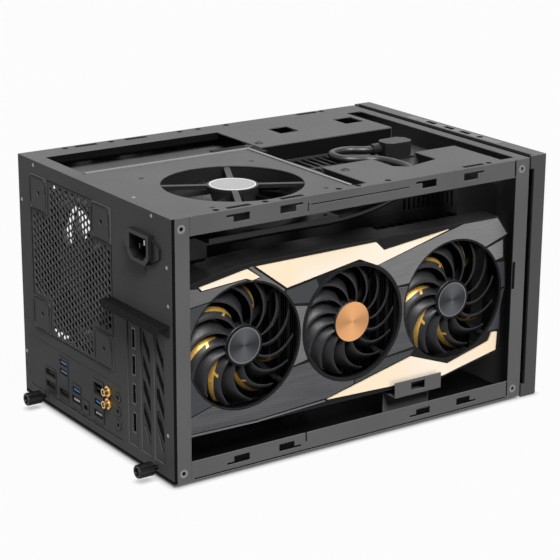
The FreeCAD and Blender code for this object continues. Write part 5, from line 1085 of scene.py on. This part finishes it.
def fins(pitch):
    """The heat sink's thin fins, which stand across the card on its base plate."""
    bm = bmesh.new()
    count = int((FIN_LAST - FIN_FIRST) / pitch)
    for number in range(count + 1):
        fin = bmesh.ops.create_cube(bm, size=1.0)["verts"]
        bmesh.ops.scale(bm, verts=fin, vec=Vector(FIN_SIZE) * MM)
        place = Vector((FIN_X, FIN_FIRST + pitch * number, FIN_Z))
        bmesh.ops.translate(bm, verts=fin, vec=place * MM)
    piece("heat_sink_fins", bm, "fin_aluminium")
    dress("fin_aluminium", "card_heatsink")


class CASE_OT_card(bpy.types.Operator):
    """Finishes the graphics card and adds its fans' blades, its shroud's facets and fine fins"""
    bl_idname = "case.card"
    bl_label = "Graphics card"

    def execute(self, context):
        sizes = context.scene.case_card
        dress("shroud_abs", "card_shroud")
        dress("champagne_aluminium", "card_trim_rear", "card_trim_middle", "card_trim_front")
        dress("turned_dark_rear", "card_cap_rear")
        dress("turned_dark_front", "card_cap_front")
        dress("turned_copper", "card_cap_middle")
        for label, y, opening, start in CARD_FANS:
            rotor(label, y, opening, start, label != "middle")
        dress("black_pbt", "card_fan_mounts")
        dress("solder_mask", "card_board")
        dress("chip_lid", "card_core")
        dress("painted_supply", "card_backplate")
        dress("dull_nickel", "card_ports")
        facets(sizes.plate_height / MM)
        fins(sizes.fin_pitch / MM)
        return {"FINISHED"}


def stage_rays(tree):
    """1 for rays that see the stage itself, from the camera or by way of gloss or glass, and 0 for others."""
    path = add(tree, "LightPath")
    seen = add(tree, "Math", {
        0: path.outputs["Is Camera Ray"], 1: path.outputs["Is Glossy Ray"]}, operation="MAXIMUM")
    return add(tree, "Math", {0: seen, 1: path.outputs["Is Transmission Ray"]}, operation="MAXIMUM")


def pale_floor():
    """A plain floor that looks white, and keeps the shadow where the case stands on it."""
    bm = bmesh.new()
    bmesh.ops.create_grid(bm, x_segments=1, y_segments=1, size=10.0)
    floor = linked("studio_floor", bm)
    material = bpy.data.materials.new("pale_floor")
    material.use_nodes = True
    tree = material.node_tree
    tree.nodes.clear()
    contact = add(tree, "AmbientOcclusion", {"Distance": 6 * MM}, samples=8)
    clear = add(tree, "MapRange", {"Value": contact.outputs["AO"], "To Min": 0.0, "To Max": 0.97})
    share = add(tree, "Math", {0: stage_rays(tree), 1: clear}, operation="MULTIPLY")
    matt = add(tree, "BsdfDiffuse", {"Color": linear("#5c5c5c")})
    glow = add(tree, "Emission", {"Color": (1.0, 1.0, 1.0, 1.0), "Strength": 1.0})
    mixed = add(tree, "MixShader", {0: share, 1: matt, 2: glow})
    add(tree, "OutputMaterial", {"Surface": mixed})
    floor.data.materials.append(material)


def soft_light(scene):
    """A white surrounding that lights weakly, and two soft suns."""
    world = bpy.data.worlds.new("studio_world")
    world.use_nodes = True
    tree = world.node_tree
    tree.nodes.clear()
    level = add(tree, "MapRange", {"Value": stage_rays(tree), "To Min": 0.14, "To Max": 1.0})
    sky = add(tree, "Background", {"Color": (1.0, 1.0, 1.0, 1.0), "Strength": level})
    add(tree, "OutputWorld", {"Surface": sky})
    scene.world = world
    for name, aim, strength, spread in (
            ("key", (0.65, -0.12, -0.75), 4.6, 30), ("fill", (-0.45, 0.45, -0.77), 0.7, 40)):
        lamp = bpy.data.lights.new(name, "SUN")
        lamp.energy = strength
        lamp.angle = math.radians(spread)
        sun = bpy.data.objects.new(name, lamp)
        sun.rotation_euler = Vector(aim).to_track_quat("-Z", "Y").to_euler()
        scene.collection.objects.link(sun)


def long_lens(scene):
    """A long lens at the case's rear left, above it."""
    data = bpy.data.cameras.new("camera")
    data.sensor_width = 36.0
    data.lens = 120.25
    data.shift_x = -0.0037
    data.shift_y = -0.0080
    data.clip_start = 0.05
    camera = bpy.data.objects.new("camera", data)
    place = Vector((-1.25666, 0.85666, 0.58365))
    look = Vector((0.0, -0.009, 0.1075)) - place
    turn = look.to_track_quat("-Z", "Y").to_matrix().to_4x4()
    roll = Matrix.Rotation(math.radians(0.29), 4, "Z")
    camera.matrix_world = Matrix.Translation(place) @ turn @ roll
    scene.collection.objects.link(camera)
    scene.camera = camera


class CASE_OT_stage(bpy.types.Operator):
    """Sets the pale floor, the soft light and the camera"""
    bl_idname = "case.stage"
    bl_label = "Stage"

    def execute(self, context):
        scene = context.scene
        scene.view_settings.view_transform = "Standard"
        pale_floor()
        soft_light(scene)
        long_lens(scene)
        return {"FINISHED"}


STEPS = (
    CASE_OT_sheet_metal, CASE_OT_rear_grille, CASE_OT_front, CASE_OT_mains, CASE_OT_supply,
    CASE_OT_case_fans, CASE_OT_board, CASE_OT_card, CASE_OT_stage,
)


class CASE_PT_panel(bpy.types.Panel):
    """Lists the steps that finish the case"""
    bl_idname = "CASE_PT_panel"
    bl_label = "Compact case"
    bl_space_type = "VIEW_3D"
    bl_region_type = "UI"
    bl_category = "Case"

    def draw(self, context):
        for step in STEPS:
            self.layout.operator(step.bl_idname)
        for group in GROUPS:
            values = getattr(context.scene, group)
            for name in values.__annotations__:
                self.layout.prop(values, name)


GROUPS = {"case_finish": FinishSettings, "case_grille": GrilleSettings, "case_card": CardSettings}
CLASSES = (*GROUPS.values(), *STEPS, CASE_PT_panel)


def register():
    for item in CLASSES:
        bpy.utils.register_class(item)
    for name, group in GROUPS.items():
        setattr(bpy.types.Scene, name, bpy.props.PointerProperty(type=group))


def unregister():
    for name in GROUPS:
        delattr(bpy.types.Scene, name)
    for item in reversed(CLASSES):
        bpy.utils.unregister_class(item)


def main():
    register()
    for step in STEPS:
        group, name = step.bl_idname.split(".")
        getattr(getattr(bpy.ops, group), name)()


if __name__ == "__main__":
    main()
